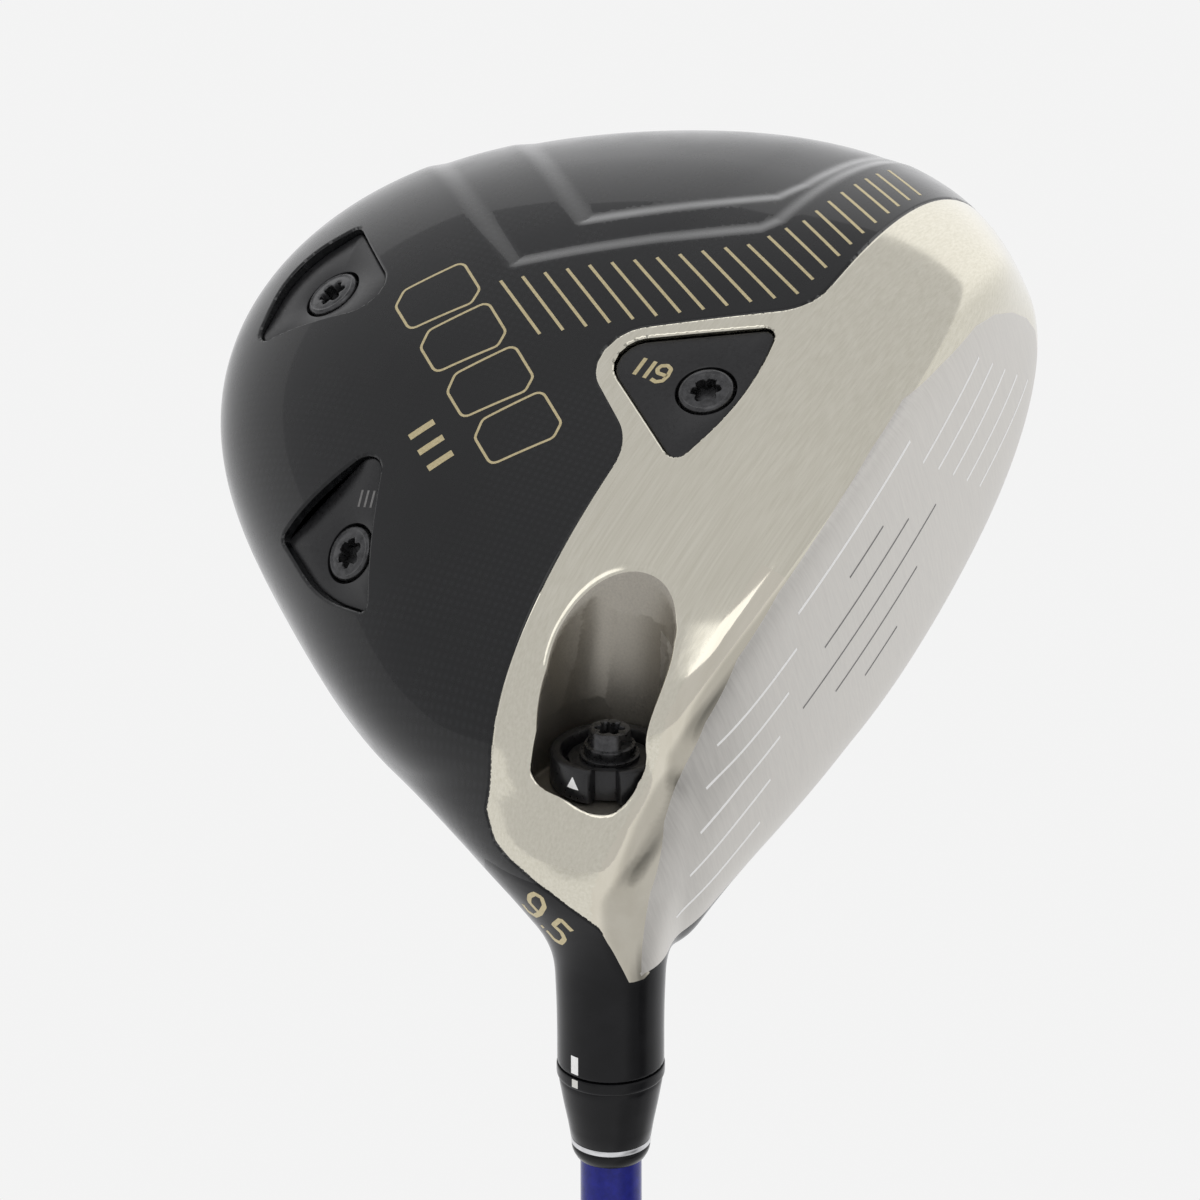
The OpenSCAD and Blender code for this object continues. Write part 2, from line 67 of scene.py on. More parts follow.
# Along the hosel's axis, as heights and values there: radius of the flare, how softly it blends into the
# head, how much softer on the sole's side, and radius of the neck.
FLARE = ([14, 30, 45, 56], [9.4, 9.4, 7.6, 4.0])
FLARE_BLEND = ([10, 22, 32, 36, 40, 44, 48, 54], [4, 8, 28, 29, 26, 23, 19, 10])
SOLE_BLEND = ([20, 30, 44, 52, 60], [0, 1, 1, 1.6, 0])
NECK = ([36, 50, 58], [7.9, 7.6, HOSEL_R])
FLARE_FOOT, NECK_FOOT = 21, 36
# The recess is a leaning scoop and, nearer the dial, a foot with a squarer outline of this half width.
RECESS_LEAN = 0.22
RECESS_FOOT = ([10, 15, 20], [7.85, 7.85, 8.55])

# Seam between the titanium front and the black shells, in plan: x, y, corner radius.
SEAM = [(-80, -28.6, 0), (-33.9, -29.8, 8), (-16.4, -1.8, 7), (-3.2, -19.4, 9), (90, -21.8, 0),
        (90, -90, 0), (-80, -90, 0)]
# Where the seam crosses the hosel: angle about the hosel, height along it.
HOSEL_SEAM = [(-180, 44), (-106, 47.3), (-72, 50.1), (-55, 50.2), (-43, 46.5), (-33, 43), (-27, 40.2),
              (-17, 38.3), (2, 34.9), (21, 32.5), (31, 31.6), (41, 30.3), (52, 27), (60, 24), (120, 30),
              (180, 44)]
# Edge of the satin face, seen from the front: x, z.
FACE_EDGE = [(-24.9, 6.9), (-15.5, 5.9), (-6.4, 5.4), (2, 5.2), (10.3, 5.3), (21, 6.9), (29.4, 11.1),
             (35.4, 16.8), (40.7, 20.4), (47.1, 28.7), (53, 41.1), (46.5, 44), (40, 44.9), (32, 46),
             (24, 47.8), (15, 50), (7, 51.8), (-5, 53.4), (-19, 54.1), (-29, 53.9), (-43, 52.6), (-53, 49),
             (-58.4, 43), (-59.4, 37.3), (-57.4, 31.3), (-53.1, 23.8), (-48.2, 17.5), (-43.4, 13.7),
             (-33.5, 9.8)]
# Weights: centre, tilt, direction, spin, depth, outline with corner radii.
SPOTS = {
    "front": ((-15.4, -24, 2.2), 7.2, -143.2, -143, 0.8,
              [(1.2, 18.6, 4.5), (13.6, -3.5, 1.6), (1.1, -6.5, 40), (-13.3, -3, 1.6)]),
    "heel": ((23.4, 14.8, 5.5), 29.4, 34.8, 38.5, 2.3,
             [(16.4, -0.7, 2.7), (-8.6, -8.2, 1), (-6.9, 2.7, 22), (1, 13.3, 1)]),
    "toe": ((-15.7, 41.4, 5), 20.5, 98, 97.5, 1.8,
            [(-10.4, 8, 2.5), (4.2, 10.9, 12), (12.1, 3.5, 1.2), (-0.9, -15, 4.6)]),
}
WEIGHT_T = 4.0
POCKET_GAP = 0.15
# Two soft steps in the rear shell, in plan.
STEPS = [
    [(-60, 44), (-50.8, 30.4), (-43.4, 19.3), (-37.7, 11), (-43.9, 2.1), (-52.8, -10.8), (-57.3, -12.2),
     (-90, -13.5), (-90, 44)],
    [(-48, 48), (-37.8, 32.5), (-31.4, 23), (-26.2, 14.5), (-31.3, 7.4), (-37.8, -2.2), (-45, -13.8),
     (-47.6, -15.1), (-90, -16.3), (-90, 48)],
]
STEP_DEPTHS = (0.9, 0.8)
STEP_WIDTH = 3.6


def widest_z(x, y):
    """Height of the head's widest line, which is a tilted plane."""
    return 26.6 - 0.047 * y - 0.095 * x


def face_y(x, z):
    """The hitting face: a plane at its loft with a slight bulge."""
    across, above = x - FACE_AT[0], z - FACE_AT[2]
    return FACE_AT[1] + math.tan(LOFT) * above + across ** 2 / FACE_CURVE + above ** 2 / FACE_CURVE


def face_value(p):
    """Distance in front of the face, below zero behind it."""
    x, y, z = p.T
    return (face_y(x, z) - y) * math.cos(LOFT)


def unit(v):
    """Vectors at length one."""
    return v / np.linalg.norm(v, axis=-1, keepdims=True)


def soft_max(a, b, r):
    """The larger of a and b, with the edge between them rounded over r."""
    return np.maximum(a, b) + np.maximum(r - np.abs(a - b), 0) ** 2 / (4 * r)


def soft_step(v):
    """From 0 to 1 without a kink, as v goes from 0 to 1."""
    v = np.clip(v, 0, 1)
    return v * v * (3 - 2 * v)


def eased_interp(t, places, values):
    """Linear interpolation with its kinks spread out, so that the surface keeps an even shine."""
    shifts = np.linspace(-3.0, 3.0, 9)
    return sum(np.interp(t + d, places, values) for d in shifts) / len(shifts)


def rounded(corners, steps=8):
    """The outline of a polygon whose corners are x, y, radius."""
    out = []
    n = len(corners)
    for i, (x, y, r) in enumerate(corners):
        here = np.array([x, y], float)
        if r == 0:
            out.append(here)
            continue
        u = unit(np.array(corners[i - 1][:2]) - here)
        v = unit(np.array(corners[(i + 1) % n][:2]) - here)
        half = math.acos(float(u @ v)) / 2
        middle = here + (u + v) / np.linalg.norm(u + v) * r / math.sin(half)
        start = here + u * r / math.tan(half) - middle
        end = here + v * r / math.tan(half) - middle
        for k in range(steps + 1):
            d = start * (steps - k) + end * k
            out.append(middle + d / np.linalg.norm(d) * r)
    return np.array(out)


def polygon_distance(outline, x, y):
    """Signed distance to a closed outline, negative inside."""
    x, y = np.asarray(x, float), np.asarray(y, float)
    best = np.full(x.shape, 1e9)
    inside = np.zeros(x.shape, bool)
    for (x0, y0), (x1, y1) in zip(outline, np.roll(outline, -1, axis=0)):
        dx, dy = x1 - x0, y1 - y0
        t = np.clip(((x - x0) * dx + (y - y0) * dy) / max(dx * dx + dy * dy, 1e-12), 0, 1)
        best = np.minimum(best, (x - x0 - t * dx) ** 2 + (y - y0 - t * dy) ** 2)
        crosses = (y0 > y) != (y1 > y)
        if dy != 0:
            inside ^= crosses & (x < x0 + (y - y0) * dx / dy)
    return np.where(inside, -1, 1) * np.sqrt(best)


SEAM_LINE = rounded(SEAM)
STEP_LINES = [np.array(s, float) for s in STEPS]
FACE_LINE = np.array(FACE_EDGE, float)


def plain_value(p):
    """The head before its face is cut: below zero inside, not yet a distance."""
    x, y, z = p.T
    a = np.arctan2(y - HEAD_CENTRE[1], x - HEAD_CENTRE[0])
    rho = np.hypot(x - HEAD_CENTRE[0], y - HEAD_CENTRE[1])
    dz = z - widest_z(x, y)
    v = np.abs(dz) / np.where(dz > 0, CROWN_H, SOLE_H)
    outline = OUTLINE_R - OUTLINE_SKEW * np.sin(2 * a) - OUTLINE_TRI * np.sin(3 * a)
    outline = outline + OUTLINE_FOUR * np.sin(4 * a)
    vm = v ** HEIGHT_POWER
    fill = 1 + FRONT_FILL * np.where(dz < 0, np.minimum(vm, 1), 0) * np.minimum(np.sin(a), 0) ** 2
    q = (rho / (outline * fill)) ** PLAN_POWER + vm
    return (np.sqrt(q) - 1) * VALUE_SCALE


def plain_slope(p, value):
    """How fast plain_value grows with distance."""
    h = 0.02
    g = np.stack([plain_value(p + h * e) - value for e in np.eye(3)], -1) / h
    return np.maximum(np.linalg.norm(g, axis=-1), 0.15)


def hosel_coords(p):
    """Position across the hosel's axis, in two directions, and height along it."""
    d = p - FOOT
    return d @ ACROSS, d[:, 1], d @ AXIS


def outer_skin(p):
    """Head and hosel blended together, without recess and bore."""
    a, b, t = hosel_coords(p)
    x, y, z = p.T
    value = plain_value(p)
    slope = plain_slope(p, value)
    flare = np.hypot(a, b) - eased_interp(t, *FLARE)
    flare = soft_max(flare, FLARE_FOOT - t, 6)
    blend = eased_interp(t, *FLARE_BLEND)
    blend += 12 * soft_step((-a - 2) / 10) * eased_interp(t, *SOLE_BLEND)
    value = -soft_max(-value / slope, -flare, blend) * slope
    face = face_value(p)
    share = np.clip(0.5 + (face - value) / (2 * EDGE_ROUND), 0, 1)
    skin = soft_max(value, face, EDGE_ROUND) / (slope + share * (1 - slope))
    tube = np.hypot(a, b) - eased_interp(t, *NECK)
    tube = soft_max(tube, NECK_FOOT - t, 6)
    skin = -soft_max(-skin, -tube, 2.5)
    skin = soft_max(skin, t - HOSEL_TOP, 0.5)
    low = soft_step((widest_z(x, y) - z - 4) / 14)
    for line, depth in zip(STEP_LINES, STEP_DEPTHS):
        skin = skin + depth * low * soft_step(0.5 - polygon_distance(line, x, y) / STEP_WIDTH)
    return skin


def recess_value(p):
    """The recess that holds the dial: below zero inside."""
    a, b, t = hosel_coords(p)
    lean = RECESS_LEAN * np.maximum(2 - t, 0)
    scoop = np.hypot(a + lean, b) - RECESS_R
    aside = np.interp(t, [4, 20], [0, 1])
    foot = (np.abs(a - aside) ** 3 + np.abs(b - aside) ** 3) ** (1 / 3) - np.interp(t, *RECESS_FOOT)
    return soft_max(np.minimum(scoop, foot), t - RECESS_FLOOR, 0.6)


def bore_value(p):
    """The hosel's bore and the screw's hole below it: below zero inside."""
    a, b, t = hosel_coords(p)
    r = np.hypot(a, b)
    bore = np.maximum(r - BORE_R, BORE_FOOT - t)
    return np.minimum(bore, np.maximum(r - SCREW_HOLE_R, SCREW_HOLE_FOOT - t))


def head_skin(p):
    """The whole outside of the head, with recess and bore."""
    v = soft_max(outer_skin(p), -recess_value(p), RECESS_ROUND)
    return soft_max(v, -bore_value(p), BORE_ROUND)


def gradient(f, p):
    """The value of f at each point and its slope there."""
    h = 0.01
    v = f(p)
    return v, np.stack([f(p + h * e) - v for e in np.eye(3)], -1) / h


# ---- Mesh building ----

SHARP_ANGLE = math.radians(35)
MIN_SKIN = 0.12


def surface_net(f, coarse, low, high, cell):
    """Quads of the zero surface of f. Away from the surface the cheap function coarse stands in."""
    n = np.ceil((high - low) / cell).astype(int) + 1
    axes = [low[i] + cell * np.arange(n[i]) for i in range(3)]
    grid = np.stack(np.meshgrid(*axes, indexing="ij"), -1).reshape(-1, 3)
    values, near = coarse(grid)
    values[near] = f(grid[near])
    v = values.reshape(n)
    inside = v < 0
    m = n - 1
    mixed = np.zeros(m, int)
    corners = [(i, j, k) for i in (0, 1) for j in (0, 1) for k in (0, 1)]
    for i, j, k in corners:
        mixed += inside[i:i + m[0], j:j + m[1], k:k + m[2]]
    cells = np.argwhere((mixed > 0) & (mixed < 8))
    index = np.full(m, -1)
    index[tuple(cells.T)] = np.arange(len(cells))
    total = np.zeros((len(cells), 3))
    count = np.zeros(len(cells))
    for c0 in corners:
        for axis in range(3):
            if c0[axis] == 1:
                continue
            c1 = list(c0)
            c1[axis] = 1
            v0 = v[tuple((cells + c0).T)]
            v1 = v[tuple((cells + c1).T)]
            cut = (v0 < 0) != (v1 < 0)
            t = np.where(cut, v0 / np.where(cut, v0 - v1, 1), 0)
            point = cells + np.array(c0, float)
            point[:, axis] += t
            total += np.where(cut[:, None], point, 0)
            count += cut
    verts = low + cell * total / count[:, None]
    quads = []
    for axis in range(3):
        b, c = (axis + 1) % 3, (axis + 2) % 3
        one = np.eye(3, dtype=int)[axis]
        size = n - one
        first = inside[:size[0], :size[1], :size[2]]
        second = inside[one[0]:, one[1]:, one[2]:]
        edges = np.argwhere(first != second)
        within = (edges[:, b] > 0) & (edges[:, c] > 0) & (edges[:, b] < n[b] - 1) & (edges[:, c] < n[c] - 1)
        edges = edges[within]
        flip = ~first[tuple(edges.T)]
        eb, ec = np.eye(3, dtype=int)[b], np.eye(3, dtype=int)[c]
        around = [index[tuple((edges - d).T)] for d in (eb + ec, ec, np.zeros(3, int), eb)]
        quad = np.stack(around, -1)
        quad[flip] = quad[flip][:, ::-1]
        quads.append(quad)
    quads = np.concatenate(quads)
    return verts, np.concatenate([quads[:, [0, 1, 2]], quads[:, [0, 2, 3]]])


def joined(*corners):
    """Faces or edges from tuples of rows of point numbers."""
    return np.concatenate([np.stack(c, -1) for c in corners])


def edges_of(faces):
    a, b, c = faces.T
    return joined((a, b), (b, c), (c, a))


def settle(f, verts, rounds, reach):
    """Moves points onto the surface of f, at most reach in each round."""
    for _ in range(rounds):
        v, g = gradient(f, verts)
        step = v[:, None] * g / np.maximum((g * g).sum(-1), 0.05)[:, None]
        length = np.linalg.norm(step, axis=-1, keepdims=True)
        verts = verts - step * np.minimum(1, reach / np.maximum(length, 1e-9))
    return verts


def split(verts, faces, value):
    """Cuts every triangle along the zero line of value, a function of position."""
    v = value(verts)
    v = np.where(np.abs(v) < 1e-5, 1e-5, v)
    plus = v > 0
    count = plus[faces].sum(1)
    cut = (count == 1) | (count == 2)
    keep, work = faces[~cut], faces[cut]
    if not len(work):
        return verts, faces
    lone = plus[work] == (count[cut] == 1)[:, None]
    turn = np.argmax(lone, axis=1)
    work = np.stack([work[np.arange(len(work)), (turn + k) % 3] for k in range(3)], -1)
    a, b, c = work.T
    pairs = np.sort(joined((a, b), (a, c)), axis=1)
    unique, where = np.unique(pairs, axis=0, return_inverse=True)
    where = where.reshape(-1)
    v0, v1 = v[unique[:, 0]], v[unique[:, 1]]
    t = (v0 / (v0 - v1))[:, None]
    new = verts[unique[:, 0]] * (1 - t) + verts[unique[:, 1]] * t
    p = len(verts) + where[:len(a)]
    q = len(verts) + where[len(a):]
    made = joined((a, p, q), (p, b, c), (p, c, q))
    return np.concatenate([verts, new]), np.concatenate([keep, made])


def refine(f, verts, faces, error):
    """Halves the edges whose middles lie off the surface of f, which makes creases smooth."""
    pairs = np.sort(edges_of(faces), axis=1)
    unique, where = np.unique(pairs, axis=0, return_inverse=True)
    middle = verts[unique].mean(1)
    halved = np.abs(f(middle)) > error
    number = np.full(len(unique), -1)
    number[halved] = len(verts) + np.arange(halved.sum())
    m = number[where.reshape(3, -1).T]
    count = (m >= 0).sum(1)
    made = [faces[count == 0]]
    # Turn each triangle so that its halved edges come first.
    first = np.where(count == 1, np.argmax(m >= 0, axis=1), (np.argmax(m < 0, axis=1) + 1) % 3)
    order = (first[:, None] + np.arange(3)) % 3
    v = np.take_along_axis(faces, order, 1)
    m = np.take_along_axis(m, order, 1)
    one, two, three = count == 1, count == 2, count == 3
    (a, b, c), (d, e, g) = v.T, m.T
    for rows, parts in ((one, ((a, d, c), (d, b, c))),
                        (two, ((d, b, e), (a, d, e), (a, e, c))),
                        (three, ((a, d, g), (d, b, e), (g, e, c), (d, e, g)))):
        made += [np.stack(corners, -1)[rows] for corners in parts]
    return np.concatenate([verts, middle[halved]]), np.concatenate(made)


def compact(verts, faces, *extra):
    """Drops the points that no face uses, and their entries in extra."""
    used, faces = np.unique(faces, return_inverse=True)
    return (verts[used], faces.reshape(-1, 3)) + tuple(e[used] for e in extra)


def add_object(name, data):
    o = bpy.data.objects.new(name, data)
    bpy.context.scene.collection.objects.link(o)
    return o


def make_object(name, verts, faces, materials, indices=None, normals=None):
    """A mesh object from points in millimetres, smooth between faces that meet at a small angle."""
    mesh = bpy.data.meshes.new(name)
    mesh.from_pydata((np.asarray(verts) * MM).tolist(), [], [list(map(int, f)) for f in faces])
    for m in materials:
        mesh.materials.append(m)
    if indices is not None:
        mesh.polygons.foreach_set("material_index", np.asarray(indices, np.int32))
    mesh.shade_smooth()
    if normals is not None:
        mesh.normals_split_custom_set(normals.tolist())
    else:
        mesh.set_sharp_from_angle(angle=SHARP_ANGLE)
    mesh.update()
    return add_object(name, mesh)


def thicken(name, verts, faces, normals, leaned, thickness, materials, indices):
    """A closed shell from an open skin: the inner side is the skin moved along its normals."""
    n = len(verts)
    edges = edges_of(faces)
    owner = np.tile(np.arange(len(faces)), 3)
    _, where, count = np.unique(np.sort(edges, axis=1), axis=0, return_inverse=True, return_counts=True)
    open_edge = count[where.reshape(-1)] == 1
    rim = edges[open_edge]
    a, b = rim.T
    rim_faces = joined((b, a, a + n), (b, a + n, b + n))
    rim_index = np.tile(indices[owner[open_edge]], 2)
    # Beside the recess the skin gets thinner, so its inner side can't come out through its outer side.
    room = 0.45 * np.maximum(recess_value(verts), -outer_skin(verts))
    depth = np.clip(room, MIN_SKIN, thickness)
    all_verts = np.concatenate([verts, verts - normals * depth[:, None]])
    all_faces = np.concatenate([faces, faces[:, ::-1] + n, rim_faces])
    tri = all_verts[rim_faces]
    flat = np.cross(tri[:, 1] - tri[:, 0], tri[:, 2] - tri[:, 0])
    flat /= np.maximum(np.linalg.norm(flat, axis=1, keepdims=True), 1e-12)
    loops = np.concatenate([leaned[faces].reshape(-1, 3), -normals[faces[:, ::-1]].reshape(-1, 3),
                            np.repeat(flat, 3, axis=0)])
    all_index = np.concatenate([indices, indices, rim_index])
    return make_object(name, all_verts, all_faces, materials, all_index, loops)


def on_hosel(points):
    """Local x, y, height along the hosel to part coordinates."""
    p = np.asarray(points, float)
    return FOOT + p[:, [0]] * ACROSS + p[:, [1]] * np.array([0, 1, 0]) + p[:, [2]] * AXIS


def spot_matrix(spot):
    """Axes and centre of a weight; its third axis points out of the sole."""
    centre, tilt, way, spin = spot[:4]
    turn = (Matrix.Rotation(math.radians(way), 3, "Z") @ Matrix.Rotation(math.radians(180 - tilt), 3, "Y")
            @ Matrix.Rotation(math.radians(spin), 3, "Z"))
    return np.array(turn), np.array(centre, float)


def at_spot(spot, points):
    """Points in a weight's own axes to part coordinates."""
    turn, centre = spot_matrix(spot)
    return np.asarray(points, float) @ turn.T + centre


def loft(rows, closed=False):
    """Triangles between rings of equal length. The first and last ring get a flat fan unless closed."""
    n = rows[0].shape[0]
    verts = np.concatenate(rows)
    i = np.arange(n)
    j = (i + 1) % n
    faces = []
    last = len(rows) if closed else len(rows) - 1
    for k in range(last):
        a, b = k * n, (k + 1) % len(rows) * n
        faces.append(joined((a + i, a + j, b + j), (a + i, b + j, b + i)))
    if not closed:
        for row, ring in ((rows[0], 0), (rows[-1], (len(rows) - 1) * n)):
            middle = len(verts)
            verts = np.concatenate([verts, row.mean(0, keepdims=True)])
            fan = joined((ring + j, ring + i, np.full(n, middle)))
            faces.append(fan if ring == 0 else fan[:, ::-1])
    return verts, np.concatenate(faces)


def circle_rows(profile, place, sides=96):
    """Rings of points for a turned part. A radius in the profile is a number or a function of the angle."""
    a = np.linspace(0, 2 * math.pi, sides, endpoint=False)
    rows = []
    for r, z in profile:
        ring = r(a) if callable(r) else np.full(sides, float(r))
        rows.append(place(np.stack([ring * np.cos(a), ring * np.sin(a), np.full(sides, float(z))], -1)))
    return rows


def join(parts):
    """One mesh from several."""
    verts, faces, base = [], [], 0
    for v, f in parts:
        verts.append(v)
        faces.append(f + base)
        base += len(v)
    return np.concatenate(verts), np.concatenate(faces)


def eased(points, size):
    """Cuts each corner of a closed radius-height profile twice, so that its edges are rounded."""
    pts = [np.array(p, float) for p in points]
    out = []
    for i, p in enumerate(pts):
        before, after = pts[i - 1] - p, pts[(i + 1) % len(pts)] - p
        lb, la = np.linalg.norm(before), np.linalg.norm(after)
        s = min(size, lb * 0.4, la * 0.4)
        u, v = before / lb * s, after / la * s
        out += [p + u, p + (u + v) * 0.29, p + v]
    return out


def turned(name, profile, body, node, slot, material, ease=0.12):
    """A turned ring or tube about the hosel's axis, from a closed profile of radius, height."""
    verts, faces = loft(circle_rows(eased(profile, ease), on_hosel), closed=True)
    piece(name, verts, faces, material, body, slot, node)


def piece(name, verts, faces, material, body, slot, *nodes):
    """A piece of one material on its body."""
    placed(make_object(name, verts, faces, [material]), body, slot, *nodes)


def placed(o, body, slot, *nodes):
    """Puts a piece on its body and hides the nodes it stands in for. The slot is not used."""
    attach(o, body)
    if nodes:
        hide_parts(*nodes)


def ribbon(points, normals, width, raised, sunk, closed=False):
    """A thin strip with square edges that follows points lying on a surface."""
    p, n = np.asarray(points, float), np.asarray(normals, float)
    if closed:
        along = np.roll(p, -1, axis=0) - np.roll(p, 1, axis=0)
    else:
        along = np.gradient(p, axis=0)
    side = np.cross(n, along)
    side /= np.maximum(np.linalg.norm(side, axis=1, keepdims=True), 1e-9)
    corners = [p + side * s * width / 2 + n * h
               for s, h in ((-1, -sunk), (1, -sunk), (1, raised), (-1, raised))]
    rows = [np.stack([c[k] for c in corners]) for k in range(len(p))]
    return loft(rows, closed=closed)


# ---- Materials ----

# Roughness of a lacquer, and how much the surface under a lacquer still shines by itself.
COAT_ROUGHNESS = 0.03
UNDER_COAT = 0.1


def node_tree(name):
    m = bpy.data.materials.new(name)
    m.use_nodes = True
    return m, m.node_tree, m.node_tree.nodes["Principled BSDF"]


def set_inputs(node, values):
    for name, value in values.items():
        node.inputs[name].default_value = value


def add_node(tree, kind, values):
    node = tree.nodes.new("ShaderNode" + kind)
    set_inputs(node, values)
    return node


def link(tree, a, b):
    tree.links.new(a, b)


def coords(tree, scale):
    """Object coordinates stretched by scale, which is in repeats per metre."""
    mapping = add_node(tree, "Mapping", {"Scale": scale})
    link(tree, add_node(tree, "TexCoord", {}).outputs["Object"], mapping.inputs["Vector"])
    return mapping.outputs["Vector"]


def noise(tree, scale, detail=4.0, rough=0.6):
    n = add_node(tree, "TexNoise", {"Scale": 1.0, "Detail": detail, "Roughness": rough})
    link(tree, coords(tree, scale), n.inputs["Vector"])
    return n.outputs["Fac"]


def remap(tree, value, low, high, out_low, out_high):
    r = add_node(tree, "MapRange", {"From Min": low, "From Max": high, "To Min": out_low,
                                    "To Max": out_high})
    link(tree, value, r.inputs["Value"])
    return r.outputs["Result"]


def bump(tree, height, distance):
    b = add_node(tree, "Bump", {"Strength": 1.0, "Distance": distance})
    link(tree, height, b.inputs["Height"])
    return b.outputs["Normal"]


def multiply(tree, a, b):
    node = add_node(tree, "Math", {})
    node.operation = "MULTIPLY"
    link(tree, a, node.inputs[0])
    link(tree, b, node.inputs[1])
    return node.outputs[0]


def tint(tree, value, dark, light):
    ramp = add_node(tree, "ValToRGB", {})
    for element, colour in zip(ramp.color_ramp.elements, (dark, light)):
        element.color = (*colour, 1)
    link(tree, value, ramp.inputs["Fac"])
    return ramp.outputs["Color"]


def even(scale):
    """A grain that is as fine in every direction."""
    return (scale, scale, scale)


def finish(name, dark, light, metal, rough, grain, relief=0.0, coat=0.0, wear=None):
    """A finish whose colour and roughness wander between two values with a noise.

    grain is in repeats per metre along x, y and z, relief is in metres, and wear is a second grain, for
    the roughness alone.
    """
    m, tree, shader = node_tree(name)
    value = noise(tree, grain)
    link(tree, tint(tree, remap(tree, value, 0.3, 0.7, 0, 1), dark, light), shader.inputs["Base Color"])
    source = noise(tree, wear, 6.0, 0.7) if wear else value
    link(tree, remap(tree, source, 0.3, 0.7, rough[0], rough[1]), shader.inputs["Roughness"])
    set_inputs(shader, {"Metallic": metal, "Coat Weight": coat, "Coat Roughness": COAT_ROUGHNESS})
    if coat:
        set_inputs(shader, {"Specular IOR Level": UNDER_COAT})
    if relief:
        link(tree, bump(tree, value, relief), shader.inputs["Normal"])
    return m


TITANIUM = finish("titanium", (0.64, 0.61, 0.51), (0.73, 0.70, 0.60), 1.0, (0.08, 0.17),
                  (60, 2600, 2600), relief=4e-7, wear=(40, 900, 900))
POLISHED = finish("polished_titanium", (0.66, 0.62, 0.52), (0.74, 0.70, 0.60), 1.0, (0.05, 0.12),
                  (40, 350, 110), relief=3e-5, wear=even(300))
SATIN = finish("face_satin", (0.61, 0.59, 0.555), (0.70, 0.68, 0.64), 1.0, (0.30, 0.42),
               (2600, 900, 120), relief=2.2e-6)
BLASTED = finish("blasted_titanium", (0.38, 0.355, 0.31), (0.48, 0.45, 0.39), 1.0, (0.42, 0.55),
                 even(3500), relief=4e-6)
GLOSS_BLACK = finish("gloss_black", (0.003, 0.003, 0.0035), (0.006, 0.006, 0.007), 0.0, (0.16, 0.24),
                     even(300), coat=0.25)
SATIN_BLACK = finish("satin_black", (0.006, 0.006, 0.0065), (0.013, 0.013, 0.014), 0.1, (0.26, 0.38),
                     even(1800), relief=2e-6)
SCREW_BLACK = finish("screw_black", (0.045, 0.045, 0.046), (0.10, 0.10, 0.102), 0.85, (0.20, 0.38),
                     even(900), relief=3e-6)
STEEL = finish("steel", (0.60, 0.60, 0.61), (0.74, 0.74, 0.75), 1.0, (0.10, 0.2), even(900))
ALLOY = finish("alloy", (0.50, 0.50, 0.52), (0.62, 0.62, 0.64), 1.0, (0.25, 0.4), (500, 500, 4000),
               relief=2e-6)
NYLON = finish("nylon", (0.70, 0.69, 0.63), (0.8, 0.79, 0.74), 0.0, (0.4, 0.55), even(700))
GOLD = finish("gold_paint", (0.50, 0.42, 0.23), (0.64, 0.55, 0.33), 0.35, (0.30, 0.45), even(2500))
WHITE = finish("white_paint", (0.93, 0.92, 0.90), (0.98, 0.98, 0.96), 0.0, (0.3, 0.4), even(2500))
GREY_LINE = finish("etched_line", (0.16, 0.155, 0.15), (0.24, 0.235, 0.23), 0.6, (0.4, 0.55), even(2500))
SHAFT_BLUE = finish("shaft_lacquer", (0.006, 0.009, 0.15), (0.012, 0.016, 0.24), 0.25, (0.12, 0.2),
                    even(900), coat=0.4)
RUBBER = finish("grip_rubber", (0.012, 0.012, 0.012), (0.028, 0.028, 0.028), 0.0, (0.55, 0.75),
                even(1400), relief=1e-5)


def carbon_material():
    """Clear-coated carbon: a fine grid of soft dots under gloss lacquer, with faint handling marks."""
    m, tree, shader = node_tree("carbon")
    waves = []
    for axis in ("X", "Y"):
        w = add_node(tree, "TexWave", {"Scale": 1.0})
        w.bands_direction = axis
        link(tree, coords(tree, even(270)), w.inputs["Vector"])
        waves.append(w.outputs["Fac"])
    weave = multiply(tree, *waves)
    patches = remap(tree, noise(tree, even(28), 2.0), 0.42, 0.62, 0.1, 1.0)
    weave = tint(tree, multiply(tree, weave, patches), (0.0035, 0.0038, 0.0042), (0.0095, 0.010, 0.011))
    link(tree, weave, shader.inputs["Base Color"])
    handled = noise(tree, even(160), 6.0)
    link(tree, remap(tree, handled, 0.3, 0.7, 0.20, 0.32), shader.inputs["Roughness"])
    set_inputs(shader, {"Coat Weight": 0.62, "Coat Roughness": 0.04, "Specular IOR Level": UNDER_COAT})
    return m


CARBON = carbon_material()

# ---- Head skins ----

# A value clearly on the far side, for points where a test doesn't apply.
FAR = 9
# How near the hosel's axis and how high along it the seam follows HOSEL_SEAM, and how it slants there.
SEAM_REACH, SEAM_FOOT, SEAM_SLANT = 26, 20, 0.9
PAINT_REACH, PAINT_FOOT = 17, 34
FACE_BACK = -36.5
RECESS_REACH, RECESS_TOP, RIM_DEPTH = 14, 27, 0.35
POCKET_DEEPEST = -9
SEAM_BEVEL, SEAM_SINK = 0.5, 0.16
POCKET_BEVEL, POCKET_SINK = 0.45, 0.3
# The mirror-bright band lies on the heel's half, this far behind the face.
POLISHED_FROM, POLISHED_WIDTH = 8, 4.5
# How far across the hosel's axis the black paint of the front body's top reaches.
TOP_PAINT_EDGE = 1.5
SKIN, CROWN_SKIN, TUBE_SKIN = 1.2, 1.0, 0.5


def seam_height(a, b):
    """Height along the hosel where the seam passes the direction a, b about its axis."""
    return np.interp(np.degrees(np.arctan2(b, a)), *np.array(HOSEL_SEAM, float).T)


